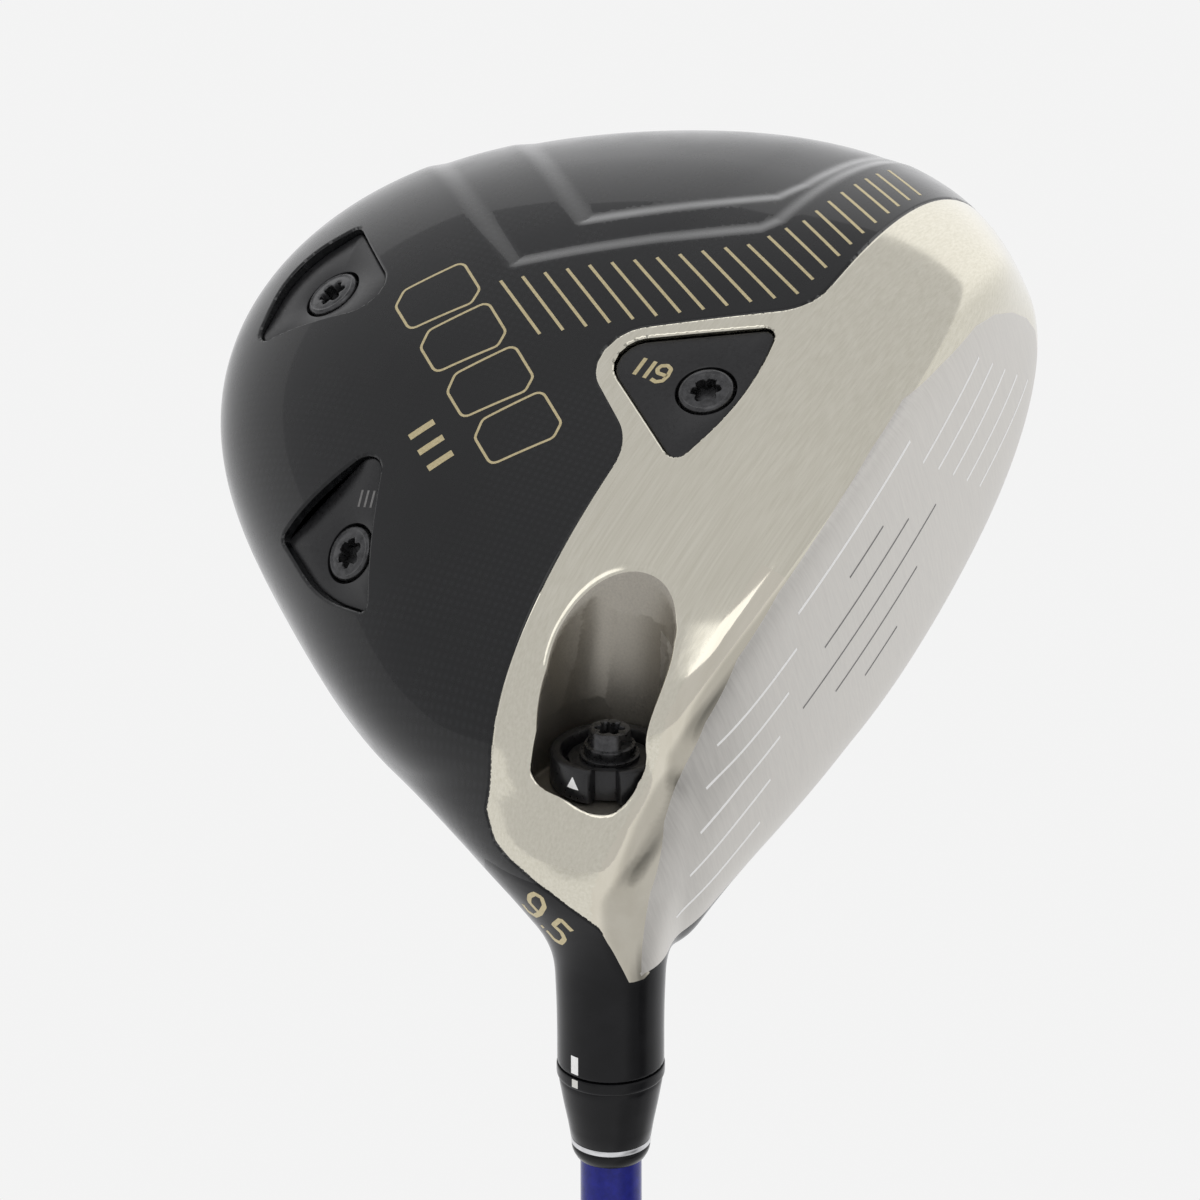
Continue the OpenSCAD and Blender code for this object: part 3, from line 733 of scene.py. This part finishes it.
def seam_side(p):
    """Below zero on the titanium side of the seam."""
    a, b, t = hosel_coords(p)
    near = (np.hypot(a, b) < SEAM_REACH) & (t > SEAM_FOOT)
    around = np.where(near, (t - seam_height(a, b)) * SEAM_SLANT, -FAR)
    return np.maximum(polygon_distance(SEAM_LINE, p[:, 0], p[:, 1]), around)


def hosel_side(p):
    """Below zero on the hosel's own black part."""
    a, b, t = hosel_coords(p)
    return np.maximum(np.maximum(seam_height(a, b) - t, PAINT_FOOT - t), np.hypot(a, b) - PAINT_REACH)


def face_side(p):
    """Below zero on the satin face."""
    x, y, z = p.T
    return np.where(y < FACE_BACK, polygon_distance(FACE_LINE, x, z), FAR)


def split_side(p):
    """Below zero above the crown's edge."""
    x, y, z = p.T
    return widest_z(x, y) + SPLIT - z


def crown_front(p):
    return p[:, 1] - CROWN_FRONT


def recess_side(p):
    """Below zero inside the recess, past its rounded rim."""
    a, b, t = hosel_coords(p)
    inside = (np.hypot(a, b) < RECESS_REACH) & (t < RECESS_TOP)
    return np.where(inside, outer_skin(p) + RIM_DEPTH, FAR)


def pocket_side(spot):
    """The test for a weight's pocket: below zero inside its outline."""
    turn, centre = spot_matrix(spot)
    outline = rounded(spot[5])

    def side(p):
        q = (p - centre) @ turn
        away = polygon_distance(outline, q[:, 0], q[:, 1]) - POCKET_GAP
        return np.where(q[:, 2] > POCKET_DEEPEST, away, FAR)
    return side


def coarse_head(grid):
    """A cheap stand-in for head_skin, and where it is too near the surface to be used."""
    a, b, t = hosel_coords(grid)
    v = soft_max(plain_value(grid), face_value(grid), EDGE_ROUND)
    near = (np.abs(v) < 5) | ((np.hypot(a, b) < 24) & (t > -12))
    return v, near


POCKETS = [pocket_side(spot) for spot in SPOTS.values()]
low = np.array([-78.0, -55.0, -2.2])
high = np.array([66.0, 64.0, 63.5])
verts, faces = surface_net(head_skin, coarse_head, low, high, CELL)
verts = settle(head_skin, verts, 4, CELL)
for error in (0.03, 0.015):
    verts, faces = refine(head_skin, verts, faces, error)
    verts = settle(head_skin, verts, 2, 0.2)
cuts = [seam_side, face_side, split_side, recess_side, hosel_side, crown_front,
        lambda p: seam_side(p) - SEAM_BEVEL, lambda p: seam_side(p) + SEAM_BEVEL]
for side in POCKETS:
    cuts += [side, lambda p, side=side: side(p) - POCKET_BEVEL]
for cut in cuts:
    verts, faces = split(verts, faces, cut)
verts = settle(head_skin, verts, 1, 0.05)
normals = unit(gradient(head_skin, verts)[1])


def bevel(verts, normals, leaned, side, width, depth, where):
    """Sinks the skin towards the line where side is zero, and leans its normals to match."""
    d, g = gradient(side, verts)
    near = where & (np.abs(d) < width)
    k = 1 - np.abs(d[near]) / width
    slope = (2 * depth / width * k * np.sign(d[near]))[:, None] * g[near]
    slope -= normals[near] * (slope * normals[near]).sum(1, keepdims=True)
    leaned[near] -= slope
    verts[near] -= normals[near] * (depth * k * k)[:, None]


leaned = normals.copy()
flat_verts = verts.copy()
on_seam = (split_side(flat_verts) > 0) & (face_side(flat_verts) > 0.3)
bevel(verts, normals, leaned, seam_side, SEAM_BEVEL, SEAM_SINK, on_seam)
for side in POCKETS:
    # Points well inside a pocket are cut away, so only the rim is bevelled.
    bevel(verts, normals, leaned, side, POCKET_BEVEL, POCKET_SINK, side(flat_verts) > -0.08)
leaned = unit(leaned)

middle = flat_verts[faces].mean(1)
across, _, height = hosel_coords(middle)
in_pocket = np.any([side(middle) < 0 for side in POCKETS], axis=0)
is_face = face_side(middle) < 0
in_bore = (bore_value(middle) < BORE_ROUND) & (height > BORE_FOOT - 1)
is_hosel = ~is_face & ((hosel_side(middle) < 0) | in_bore)
above = split_side(middle) < 0
titanium = seam_side(middle) < 0
is_front = ~is_face & ~is_hosel & ((titanium & ~above) | (above & (crown_front(middle) < 0)))
is_crown = ~is_face & ~is_hosel & ~is_front & above
is_rear = ~is_face & ~is_hosel & ~is_front & ~is_crown
polished = (middle[:, 0] > POLISHED_FROM) & (face_value(middle) > -POLISHED_WIDTH)
# Which of the front body's materials a triangle has: titanium, blasted recess, painted top or polished.
top_paint = above & (across <= TOP_PAINT_EDGE)
paint = np.where(recess_side(middle) < 0, 1, np.where(top_paint, 2, np.where(polished, 3, 0)))


def skin_piece(name, chosen, node, slot, thickness, materials, indices):
    """A shell made from the chosen triangles of the head's skin."""
    chosen = chosen & ~in_pocket
    v, f, n, l = compact(verts, faces[chosen], normals, leaned)
    placed(thicken(name, v, f, n, l, thickness, materials, indices[chosen]), "head", slot, node)


plain = np.zeros(len(faces), int)
skin_piece("front_body_skin", is_front, "front_body", "titanium", SKIN,
           [TITANIUM, BLASTED, GLOSS_BLACK, POLISHED], paint)
skin_piece("face_plate_skin", is_face, "face_plate", "face_titanium", SKIN, [SATIN], plain)
skin_piece("rear_shell_skin", is_rear, "rear_shell", "carbon", SKIN, [CARBON], plain)
skin_piece("crown_panel_skin", is_crown, "crown_panel", "carbon_gloss", CROWN_SKIN, [GLOSS_BLACK], plain)
skin_piece("hosel_tube_skin", is_hosel, "hosel_tube", "black_titanium", TUBE_SKIN, [GLOSS_BLACK], plain)

# ---- Weights, ports and their screws ----

CLEAR_R, SHANK_R, HEAD_R = 2.55, 2.5, 3.9
PLATE_BORE_R, SEAT_R, SEAT_DEPTH = 2.65, 4.25, 2.4
WASHER_T = 0.4
PORT_WALL, PORT_FLOOR, STEM_R, STEM_LENGTH = 1.2, 1.5, 4.6, 8
PORT_TOPS = {"front": -1.5, "heel": -3.6, "toe": -2.4}


def star(radius):
    """A six-lobed socket."""
    return lambda a: radius * (0.86 + 0.14 * np.cos(6 * a) - 0.03 * np.cos(12 * a))


def outline_radius(outline, offset=0.0):
    """Distance from the screw's axis to a convex outline, moved outwards by offset, for each angle."""
    edge = np.roll(outline, -1, axis=0) - outline
    keep = np.linalg.norm(edge, axis=1) > 1e-6
    edge, start = edge[keep], outline[keep]
    out = np.stack([edge[:, 1], -edge[:, 0]], -1) / np.linalg.norm(edge, axis=1, keepdims=True)
    away = (out * start).sum(1)
    out = np.where(away[:, None] < 0, -out, out)
    away = np.abs(away) + offset

    def radius(a):
        c = out[:, [0]] * np.cos(a) + out[:, [1]] * np.sin(a)
        return np.where(c > 1e-3, away[:, None] / np.maximum(c, 1e-3), 1e9).min(0)
    return radius


def weight_plate(outline, top):
    """Profile of a weight: its outline with eased edges, its bore and the seat of its screw."""
    bottom = top - WEIGHT_T
    edge = ((0.3, bottom), (0, bottom + 0.3), (0, top - 0.45), (0.08, top - 0.2), (0.22, top - 0.07),
            (0.45, top))
    profile = [(PLATE_BORE_R, bottom)]
    profile += [(outline_radius(outline, -inset), z) for inset, z in edge]
    profile += [(4.55, top), (4.35, top - 0.08), (4.28, top - 0.25)]
    return profile + [(SEAT_R, top - SEAT_DEPTH), (PLATE_BORE_R, top - SEAT_DEPTH)]


def port_cup(outline, floor, wall_top):
    """Profile of the threaded cup that a weight sits in."""
    inner, outer = outline_radius(outline, POCKET_GAP), outline_radius(outline, PORT_WALL)
    return [(CLEAR_R, floor), (inner, floor), (inner, wall_top), (outer, wall_top),
            (outer, floor - PORT_FLOOR), (STEM_R, floor - PORT_FLOOR), (STEM_R, floor - STEM_LENGTH),
            (CLEAR_R, floor - STEM_LENGTH)]


def weight_bolt(under):
    """Profile of a weight's screw, its head above the height under."""
    socket = [(0.01, 0.5), (star(2.1), 0.5), (star(2.15), 0.6), (star(2.2), 2.1), (star(2.4), 2.28)]
    head = [(2.75, 2.3), (2.95, 2.22), (3.25, 2.22), (3.4, 2.3), (3.62, 2.24), (3.82, 2.05),
            (HEAD_R, 1.8), (HEAD_R, 0)]
    shank = [(SHANK_R, 0), (SHANK_R, -9), (2.1, -9.4), (0.01, -9.4)]
    return [(r, under + z) for r, z in socket + head + shank]


for name, spot in SPOTS.items():
    outline = rounded(spot[5])
    top = -spot[4]
    floor = top - WEIGHT_T - 0.05
    under = top - SEAT_DEPTH + WASHER_T
    weight = name + "_weight"
    place = lambda pts, spot=spot: at_spot(spot, pts)
    plate = loft(circle_rows(weight_plate(outline, top), place, 240), closed=True)
    piece(weight + "_plate", *plate, SATIN_BLACK, weight, "weight_black", weight)
    cup = loft(circle_rows(port_cup(outline, floor, PORT_TOPS[name]), place, 180)[::-1], closed=True)
    piece(name + "_port_cup", *cup, SATIN_BLACK, "head", "port_metal", weight + "_port")
    washer = [(CLEAR_R, under - WASHER_T), (HEAD_R, under - WASHER_T), (HEAD_R, under), (CLEAR_R, under)]
    washer = loft(circle_rows(eased(washer, 0.1), place), closed=True)
    piece(name + "_washer_ring", *washer, NYLON, weight, "nylon", weight + "_washer")
    bolt = loft(circle_rows(weight_bolt(under), place, 120)[::-1])
    piece(weight + "_bolt", *bolt, SCREW_BLACK, weight + "_screw", "black_steel", weight + "_screw")

# ---- Locking screw and dial: profiles of radius and height along the hosel ----

NOTCH_ANGLE, NOTCH_HALF, NOTCH_DEPTH = 330, 16, 1.5

screw = [(0.01, 18.2), (star(1.9), 18.2), (star(1.95), 18.1), (star(2.0), 15.5), (star(2.15), 15.25),
         (2.5, 15.2), (2.72, 15.3), (2.82, 15.5), (2.95, 17.2), (3.05, 17.35), (3.45, 17.5), (3.5, 17.7),
         (3.5, 18.8), (2.5, 18.8), (2.5, 36.2), (2.1, 36.8), (0.01, 36.8)]
screw = loft(circle_rows(screw, on_hosel, 120))
piece("locking_screw", *screw, SCREW_BLACK, "lock_screw", "black_steel", "hosel_screw")
turned("locking_washer", [(2.55, 18.8), (4.1, 18.8), (4.1, 19.4), (2.55, 19.4)],
       "lock_washer", "screw_washer", "steel", SCREW_BLACK)


def notched(radius):
    """The dial's rim has one wide notch."""
    def rim(a):
        away = np.abs((np.degrees(a) - NOTCH_ANGLE + 180) % 360 - 180)
        return radius - NOTCH_DEPTH * soft_step((NOTCH_HALF - away) / 4)
    return rim


dial = [(2.6, 19.4), (5.2, 19.4), (5.6, 19.5), (5.9, 20.4), (6.3, 20.5), (6.5, 18.7), (6.7, 18.35),
        (7.2, 18.2), (notched(7.75), 18.25), (notched(8.0), 18.45), (notched(8.1), 18.8),
        (notched(8.1), 22.9), (2.6, 22.9)]
dial = loft(circle_rows(dial, on_hosel, 240), closed=True)
piece("dial_body", *dial, SATIN_BLACK, "dial", "dial_black", "adjusting_dial")
sleeve = [(2.6, 23), (4.0, 23), (4.0, 27.05), (5.9, 27.05), (5.9, 65.1), (5.2, 65.1), (5.2, 28),
          (3.3, 28), (3.3, 24), (2.6, 24)]
turned("setting_sleeve", sleeve, "dial", "angle_sleeve", "alloy", ALLOY)
turned("grommet_ring", [(2.55, 24), (3.28, 24), (3.28, 25.2), (2.55, 25.2)],
       "dial", "screw_grommet", "nylon", NYLON)

# ---- Shaft assembly: profiles of radius and height along the hosel ----

TIP_BORE = 4.22
GRIP_FOOT, GRIP_TOP = 879, 1146
GRIP_RIBS, RIB_PITCH, RIB_DEPTH = 61, 4.4, 0.28

SHAFT_PARTS = [
    ("adapter_sleeve", "shaft_adapter", "alloy", ALLOY, 0.12,
     [(2.55, 28.2), (5.15, 28.2), (5.15, 65.6), (TIP_BORE, 65.6), (TIP_BORE, 41.18), (2.55, 41.18)]),
    ("collar_body", "collar_ring", "ferrule_black", GLOSS_BLACK, 0.15,
     [(TIP_BORE, 65.65), (7.38, 65.65), (7.4, 66.2), (7.4, 67.0), (7.3, 67.4), (TIP_BORE, 67.4)]),
    ("ferrule_cone", "ferrule", "ferrule_black", GLOSS_BLACK, 0.2,
     [(TIP_BORE, 67.4), (7.15, 67.4), (7.02, 68.5), (6.5, 71.5), (5.85, 74.8), (5.5, 77.0),
      (TIP_BORE, 77.0)]),
    ("silver_ring", "trim_ring", "steel", STEEL, 0.1,
     [(TIP_BORE, 77.0), (5.5, 77.0), (5.47, 77.8), (TIP_BORE, 77.8)]),
    ("ferrule_end", "ferrule_tip", "ferrule_black", GLOSS_BLACK, 0.4,
     [(TIP_BORE, 77.8), (5.4, 77.8), (5.35, 78.8), (4.7, 80.0), (TIP_BORE, 80.0)]),
    ("shaft_tube", "shaft", "shaft_blue", SHAFT_BLUE, 0.1,
     [(2.6, 41.2), (4.2, 41.2), (4.2, 110), (7.6, 859), (7.6, 1145), (6.6, 1145), (6.6, 859), (2.6, 110)]),
    ("plug_body", "tip_plug", "nylon", NYLON, 0.12,
     [(0.02, 41.7), (2.58, 41.7), (2.58, 49.7), (0.02, 49.7)]),
    ("tape_layer", "grip_tape", "tape", NYLON, 0.05,
     [(7.62, 881), (7.8, 881), (7.8, 1145), (7.62, 1145)]),
    ("grip_end", "grip_cap", "rubber", RUBBER, 0.3,
     [(1.5, GRIP_TOP), (13.4, GRIP_TOP), (13.2, 1147.6), (12.3, 1148.8), (11.2, 1149), (1.5, 1149)]),
]
for name, node, slot, material, ease, profile in SHAFT_PARTS:
    turned(name, profile, "shaft_assembly", node, slot, material, ease)

grip_rows = [(7.82, GRIP_FOOT), (8.6, GRIP_FOOT), (9.2, 879.7)]
for k in range(GRIP_RIBS):
    t = 881 + k * RIB_PITCH
    r = np.interp(t, [GRIP_FOOT, 1060, 1120, GRIP_TOP], [9.3, 11.9, 13.4, 13.4])
    grip_rows += [(r, t - 1.7), (r - RIB_DEPTH, t - 1.3), (r - RIB_DEPTH, t - 0.7), (r, t - 0.3)]
grip_rows += [(13.4, GRIP_TOP), (7.82, GRIP_TOP)]
grip = loft(circle_rows(grip_rows, on_hosel, 64), closed=True)
piece("grip_sleeve", *grip, RUBBER, "shaft_assembly", "rubber", "grip")

# ---- Painted and engraved details ----


def slide_to_skin(p, axis, least_slope, reach, rounds):
    """Moves points along one axis onto the outer skin; also gives their normals."""
    for _ in range(rounds):
        v, g = gradient(outer_skin, p)
        p[:, axis] -= np.clip(v / np.minimum(g[:, axis], -least_slope), -reach, reach)
    return p, unit(gradient(outer_skin, p)[1])


def on_sole(x, y):
    """Points of the sole at plan positions, with their normals."""
    p = np.stack([x, y, widest_z(x, y) - 0.93 * SOLE_H], -1)
    return slide_to_skin(p, 2, 0.15, 2.5, 14)


def on_face(x, z):
    """Points of the face in front of x, z, with their normals."""
    return slide_to_skin(np.stack([x, face_y(x, z), z], -1), 1, 0.3, 100, 6)


def path(points, count, shares=None):
    """count positions along a polyline, spread evenly or at the given shares of its length."""
    pts = np.array(points, float)
    run = np.concatenate([[0], np.cumsum(np.linalg.norm(np.diff(pts, axis=0), axis=1))])
    s = run[-1] * (np.linspace(0, 1, count) if shares is None else shares)
    return [np.interp(s, run, pts[:, k]) for k in range(pts.shape[1])]


def detail(name, parts, body, slot, material):
    """Thin strips joined into one piece that rides on a body."""
    piece(name, *join(parts), material, body, slot)


# How far painted strips stand out of the skin and reach into it.
PAINT, PAINT_IN = 0.02, 0.1


def score_lines(group, rows, material):
    """Grooves of the face; each row has a line's middle x, height z, length and width."""
    parts = []
    for x, z, length, width in rows:
        p, n = on_face(np.linspace(x - length / 2, x + length / 2, 16), np.full(16, z))
        parts.append(ribbon(p, n, width, 0.015, PAINT_IN))
    detail("score_lines_" + group, parts, "head", "face_titanium", material)


score_lines("centre", [(-6.6, 17.5, 9.2, 0.35), (-5.1, 23, 23, 0.35), (-4.8, 28.3, 36.5, 0.35),
                       (-4.6, 33.5, 22.4, 0.35), (-4.3, 38.5, 8.8, 0.35)], GREY_LINE)
sides = [(-6.2, 11.3, 30.7, 0.55)]
for k in range(5):
    sides.append((-32 - 2.8 * k, 18.0 + 5.25 * k, 18.5, 0.5))
    sides.append((20.3 + 3.75 * k, 16.6 + 5.6 * k, 17.8, 0.5))
score_lines("sides", sides, WHITE)


def sole_line(start, end, count, width):
    """A straight strip on the sole between two plan positions."""
    xs, ys = np.linspace(start, end, count).T
    p, n = on_sole(xs, ys)
    return ribbon(p, n, width, PAINT, PAINT_IN)


# Gold ticks along the seam. Their ends follow two lines, closer together towards the toe.
TICKS = 22
shares = np.interp(np.arange(TICKS), [0, 12, 18, 21], [0, 0.62, 0.89, 1])
far = path([(-22.1, 14.1), (-29.1, 3.6), (-34.1, -4.8), (-41.3, -15.1), (-48.6, -18.6), (-59.4, -19),
            (-66, -19.1)], TICKS, shares)
near = path([(-15.2, 2.9), (-22.2, -7.8), (-27.5, -16.1), (-35, -26.5), (-43.6, -27.4), (-55.1, -27.5),
             (-62.4, -27.2)], TICKS, shares)
ticks = []
for k in range(TICKS):
    ticks.append(sole_line((far[0][k], far[1][k]), (near[0][k], near[1][k]), 10, 0.45))
detail("gold_ticks", ticks, "head", "carbon", GOLD)

# Numerals drawn with single strokes in a box one wide and 1.6 high.
STROKES = {
    "5": [[(0.95, 1.6), (0.1, 1.6), (0.05, 0.9), (0.6, 0.95), (0.95, 0.75), (0.95, 0.25), (0.6, 0),
           (0, 0.05)]],
    "9": [[(0.05, 0.1), (0.5, 0), (0.9, 0.25), (1, 0.8), (0.9, 1.4), (0.5, 1.6), (0.1, 1.4), (0, 1.05),
           (0.2, 0.75), (0.95, 0.75)]],
    ".": [[(0.3, 0), (0.5, 0)]],
    "|": [[(0.35, 0), (0.35, 1.6)]],
}


def strokes(text, pitch=1.35):
    """Polylines of a row of numerals, starting at zero."""
    lines = []
    start = 0.0
    for sign in text:
        for line in STROKES[sign]:
            lines.append([(start + x, y) for x, y in line])
        start += pitch * (0.6 if sign in ".|" else 1)
    return lines


def written(lines, place, width):
    """Ribbons along polylines; place turns two coordinate rows into points and normals."""
    parts = []
    for line in lines:
        u, v = path(line, 4 * len(line))
        p, n = place(u, v)
        parts.append(ribbon(p, n, width, PAINT, 0.06))
    return parts


def on_weight(name, size, x0, y0):
    """Text on a weight reads along -y towards the screw, with its top towards +x."""
    spot = SPOTS[name]
    turn, _ = spot_matrix(spot)

    def place(u, v):
        flat = np.stack([x0 + v * size, y0 - u * size, np.full(len(u), -spot[4])], -1)
        return at_spot(spot, flat), np.tile(turn[:, 2], (len(u), 1))
    return place


front_mark = written(strokes("||9"), on_weight("front", 2.0, -1.3, 11.6), 0.6)
detail("front_weight_mark", front_mark, "front_weight", "weight_black", GOLD)
heel_mark = written(strokes("|||"), on_weight("heel", 1.5, 6.6, 1.2), 0.4)
detail("heel_weight_mark", heel_mark, "heel_weight", "weight_black", GREY_LINE)

LOFT_FIGURE_LENGTH = 2.85


def on_flare(u, v):
    """The loft figure runs round the foot of the hosel, its top towards the head."""
    start, end = np.array([54.6, -26.5, 29.0]), np.array([56.1, -31.7, 34.5])
    rise_start, rise_end = np.array([0.3, -4.5, -5.6]), np.array([-0.6, -3.3, -4.0])
    s = (u / LOFT_FIGURE_LENGTH)[:, None]
    p = start + s * (end - start) + (v / 1.6)[:, None] * (rise_start * (1 - s) + rise_end * s)
    p = settle(outer_skin, p, 8, 1.5)
    return p, unit(gradient(outer_skin, p)[1])


detail("loft_figure", written(strokes("9.5", 1.15), on_flare, 0.75), "head", "black_titanium", GOLD)


def tube_patch(name, t0, t1, angles, body, slot, material, radius):
    """A thin painted patch on a round part about the hosel's axis."""
    a = np.radians(np.linspace(angles[0], angles[1], 9))
    rows = []
    for r, t in ((radius - 0.08, t0), (radius + PAINT, t0), (radius + PAINT, t1), (radius - 0.08, t1)):
        rows.append(on_hosel(np.stack([r * np.cos(a), r * np.sin(a), np.full(9, t)], -1)))
    columns = [np.stack([row[k] for row in rows]) for k in range(9)]
    detail(name, [loft(columns)], body, slot, material)


tube_patch("hosel_mark", 62.3, 65.0, (2, 12), "head", "black_titanium", WHITE, HOSEL_R)
tube_patch("collar_mark", 65.8, 67.0, (2, 10), "shaft_assembly", "ferrule_black", NYLON, 7.4)


def triangle_mark():
    """The white pointer on the rim of the dial, its tip towards the sole."""
    turn = 0.05
    rows = []
    for k in range(9):
        half = math.radians(0.3 + 6.5 * k / 8)
        height = 19.5 + 1.7 * k / 8
        arc = np.linspace(-half, half, 9)
        ring = [(8.0, w) for w in arc] + [(8.14, w) for w in arc[::-1]]
        rows.append(on_hosel([[r * math.cos(turn + w), r * math.sin(turn + w), height] for r, w in ring]))
    return loft(rows)


detail("dial_pointer", [triangle_mark()], "dial", "dial_black", WHITE)


def outline_ribbon(ring, width):
    """A closed strip on the sole along an outline in plan, its corners rounded."""
    ring = rounded([(x, y, 1.2) for x, y in ring], 4)
    xs, ys = path(np.concatenate([ring, ring[:1]]), 90)
    p, n = on_sole(xs[:-1], ys[:-1])
    return ribbon(p, n, width, PAINT, PAINT_IN, closed=True)


# The emblem: four outlined, slanted cells in a row on the sole, and three short bars beside them.
CELLS, BARS, BAR_LENGTH = 4, 3, 4.0
CELL_OUTLINE = [(0.6, -5.6), (7.6, -5.6), (9.4, -3.6), (8.2, 5.6), (2.4, 5.6), (0.2, 3.4)]
start, end = np.array([-19.5, 25.5]), np.array([3.5, -7.5])
along = (end - start) / CELLS
step = unit(along)
side = np.array([-step[1], step[0]])
cells = []
for k in range(CELLS):
    ring = [start + along * k + step * x + side * y for x, y in CELL_OUTLINE]
    cells.append(outline_ribbon(ring, 0.38))
detail("emblem_outline", cells, "head", "carbon", GOLD)
bars = []
for k in range(BARS):
    base = start + step * (26 + 3.4 * k) + side * 9.2
    bars.append(sole_line(base, base + side * BAR_LENGTH, 8, 1.1))
detail("emblem_bars", bars, "head", "carbon", GOLD)

# ---- Camera, light and setting ----


def placement(x_axis, y_axis, z_axis, place):
    """The matrix of an object from its axes and its place."""
    rows = np.stack([x_axis, y_axis, z_axis, place], -1).tolist()
    return Matrix(rows + [[0, 0, 0, 1]])


# The camera's directions, its place in metres and its lens were found by fitting the head to the photo.
camera = add_object("camera", bpy.data.cameras.new("camera"))
forward = np.array([-0.41379, 0.52342, 0.74485])
right = np.array([-0.49748, -0.81523, 0.29651])
up = -np.array([0.76242, -0.24785, 0.59773])
camera.matrix_world = placement(right, up, -forward, (0.71204, -0.90283, -1.24162))
camera.data.sensor_width = 36
camera.data.lens = 372.7
camera.data.clip_start = 0.05
camera.data.clip_end = 50
bpy.context.scene.camera = camera


def soft_light(name, way, distance, size, power):
    """A square soft box, in a direction given as the camera's right, up and towards the camera."""
    lamp = add_object(name, bpy.data.lights.new(name, "AREA"))
    direction = unit(way[0] * right + way[1] * up - way[2] * forward)
    x_axis = unit(np.cross(up, direction))
    lamp.matrix_world = placement(x_axis, np.cross(direction, x_axis), direction, direction * distance)
    lamp.data.shape = "SQUARE"
    lamp.data.size = size
    lamp.data.energy = power


soft_light("soft_box", (-0.16, 0.62, 0.76), 1.3, 0.65, 1.1)


# The room's light, and patches of it: direction (camera's right, up, towards the camera), cosines of the
# angles where the patch is full and where it ends, and how much it adds.
ROOM_LIGHT = 0.9
ROOM = [((0.2, 0.75, -0.6), 0.95, 0.6, 0.3), ((-0.16, 0.62, 0.76), 0.97, 0.84, 0.35),
        ((0.85, -0.35, 0.35), 0.97, 0.80, -0.28), ((0.6, -0.76, -0.15), 0.95, 0.75, -0.3),
        ((0.8, -0.6, -0.02), 0.998, 0.975, -0.16),
        ((-0.6, -0.28, 0.72), 0.97, 0.85, -0.22)]
BACKDROP = (0.90, 0.90, 0.90, 1)


def studio():
    """A bright even room with brighter and darker patches; the camera itself sees a plain backdrop."""
    world = bpy.data.worlds.new("studio")
    bpy.context.scene.world = world
    world.use_nodes = True
    tree = world.node_tree
    way = add_node(tree, "TexCoord", {}).outputs["Generated"]
    total = None
    for aim, inner, outer, amount in ROOM:
        dot = add_node(tree, "VectorMath", {1: unit(aim[0] * right + aim[1] * up - aim[2] * forward)})
        dot.operation = "DOT_PRODUCT"
        link(tree, way, dot.inputs[0])
        patch = add_node(tree, "MapRange", {"From Min": outer, "From Max": inner, "To Min": 0.0,
                                            "To Max": amount})
        patch.interpolation_type = "SMOOTHSTEP"
        link(tree, dot.outputs["Value"], patch.inputs["Value"])
        add = add_node(tree, "Math", {1: ROOM_LIGHT})
        link(tree, patch.outputs["Result"], add.inputs[0])
        if total:
            link(tree, total, add.inputs[1])
        total = add.outputs[0]
    background = tree.nodes["Background"]
    set_inputs(background, {"Color": (1, 1, 1.01, 1)})
    link(tree, total, background.inputs["Strength"])
    shown = add_node(tree, "Background", {"Color": BACKDROP})
    mix = add_node(tree, "MixShader", {})
    link(tree, add_node(tree, "LightPath", {}).outputs["Is Camera Ray"], mix.inputs[0])
    link(tree, background.outputs[0], mix.inputs[1])
    link(tree, shown.outputs[0], mix.inputs[2])
    link(tree, mix.outputs[0], tree.nodes["World Output"].inputs["Surface"])


studio()

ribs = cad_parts["sole_ribs"]
ribs.data.materials.clear()
ribs.data.materials.append(BLASTED)

# The floor, in metres, lies below the camera, which looks up at the sole.
FLOOR_HALF, FLOOR_Z = 6, -2.2
floor_mesh = bpy.data.meshes.new("floor")
corners = [(x * FLOOR_HALF, y * FLOOR_HALF, FLOOR_Z) for x, y in ((-1, -1), (1, -1), (1, 1), (-1, 1))]
floor_mesh.from_pydata(corners, [], [(0, 1, 2, 3)])
floor_mesh.materials.append(finish("floor_paper", (0.80, 0.80, 0.81), (0.84, 0.84, 0.85), 0.0, (0.8, 0.9),
                                   even(3)))
add_object("floor", floor_mesh)

bpy.context.scene.view_settings.view_transform = "Standard"
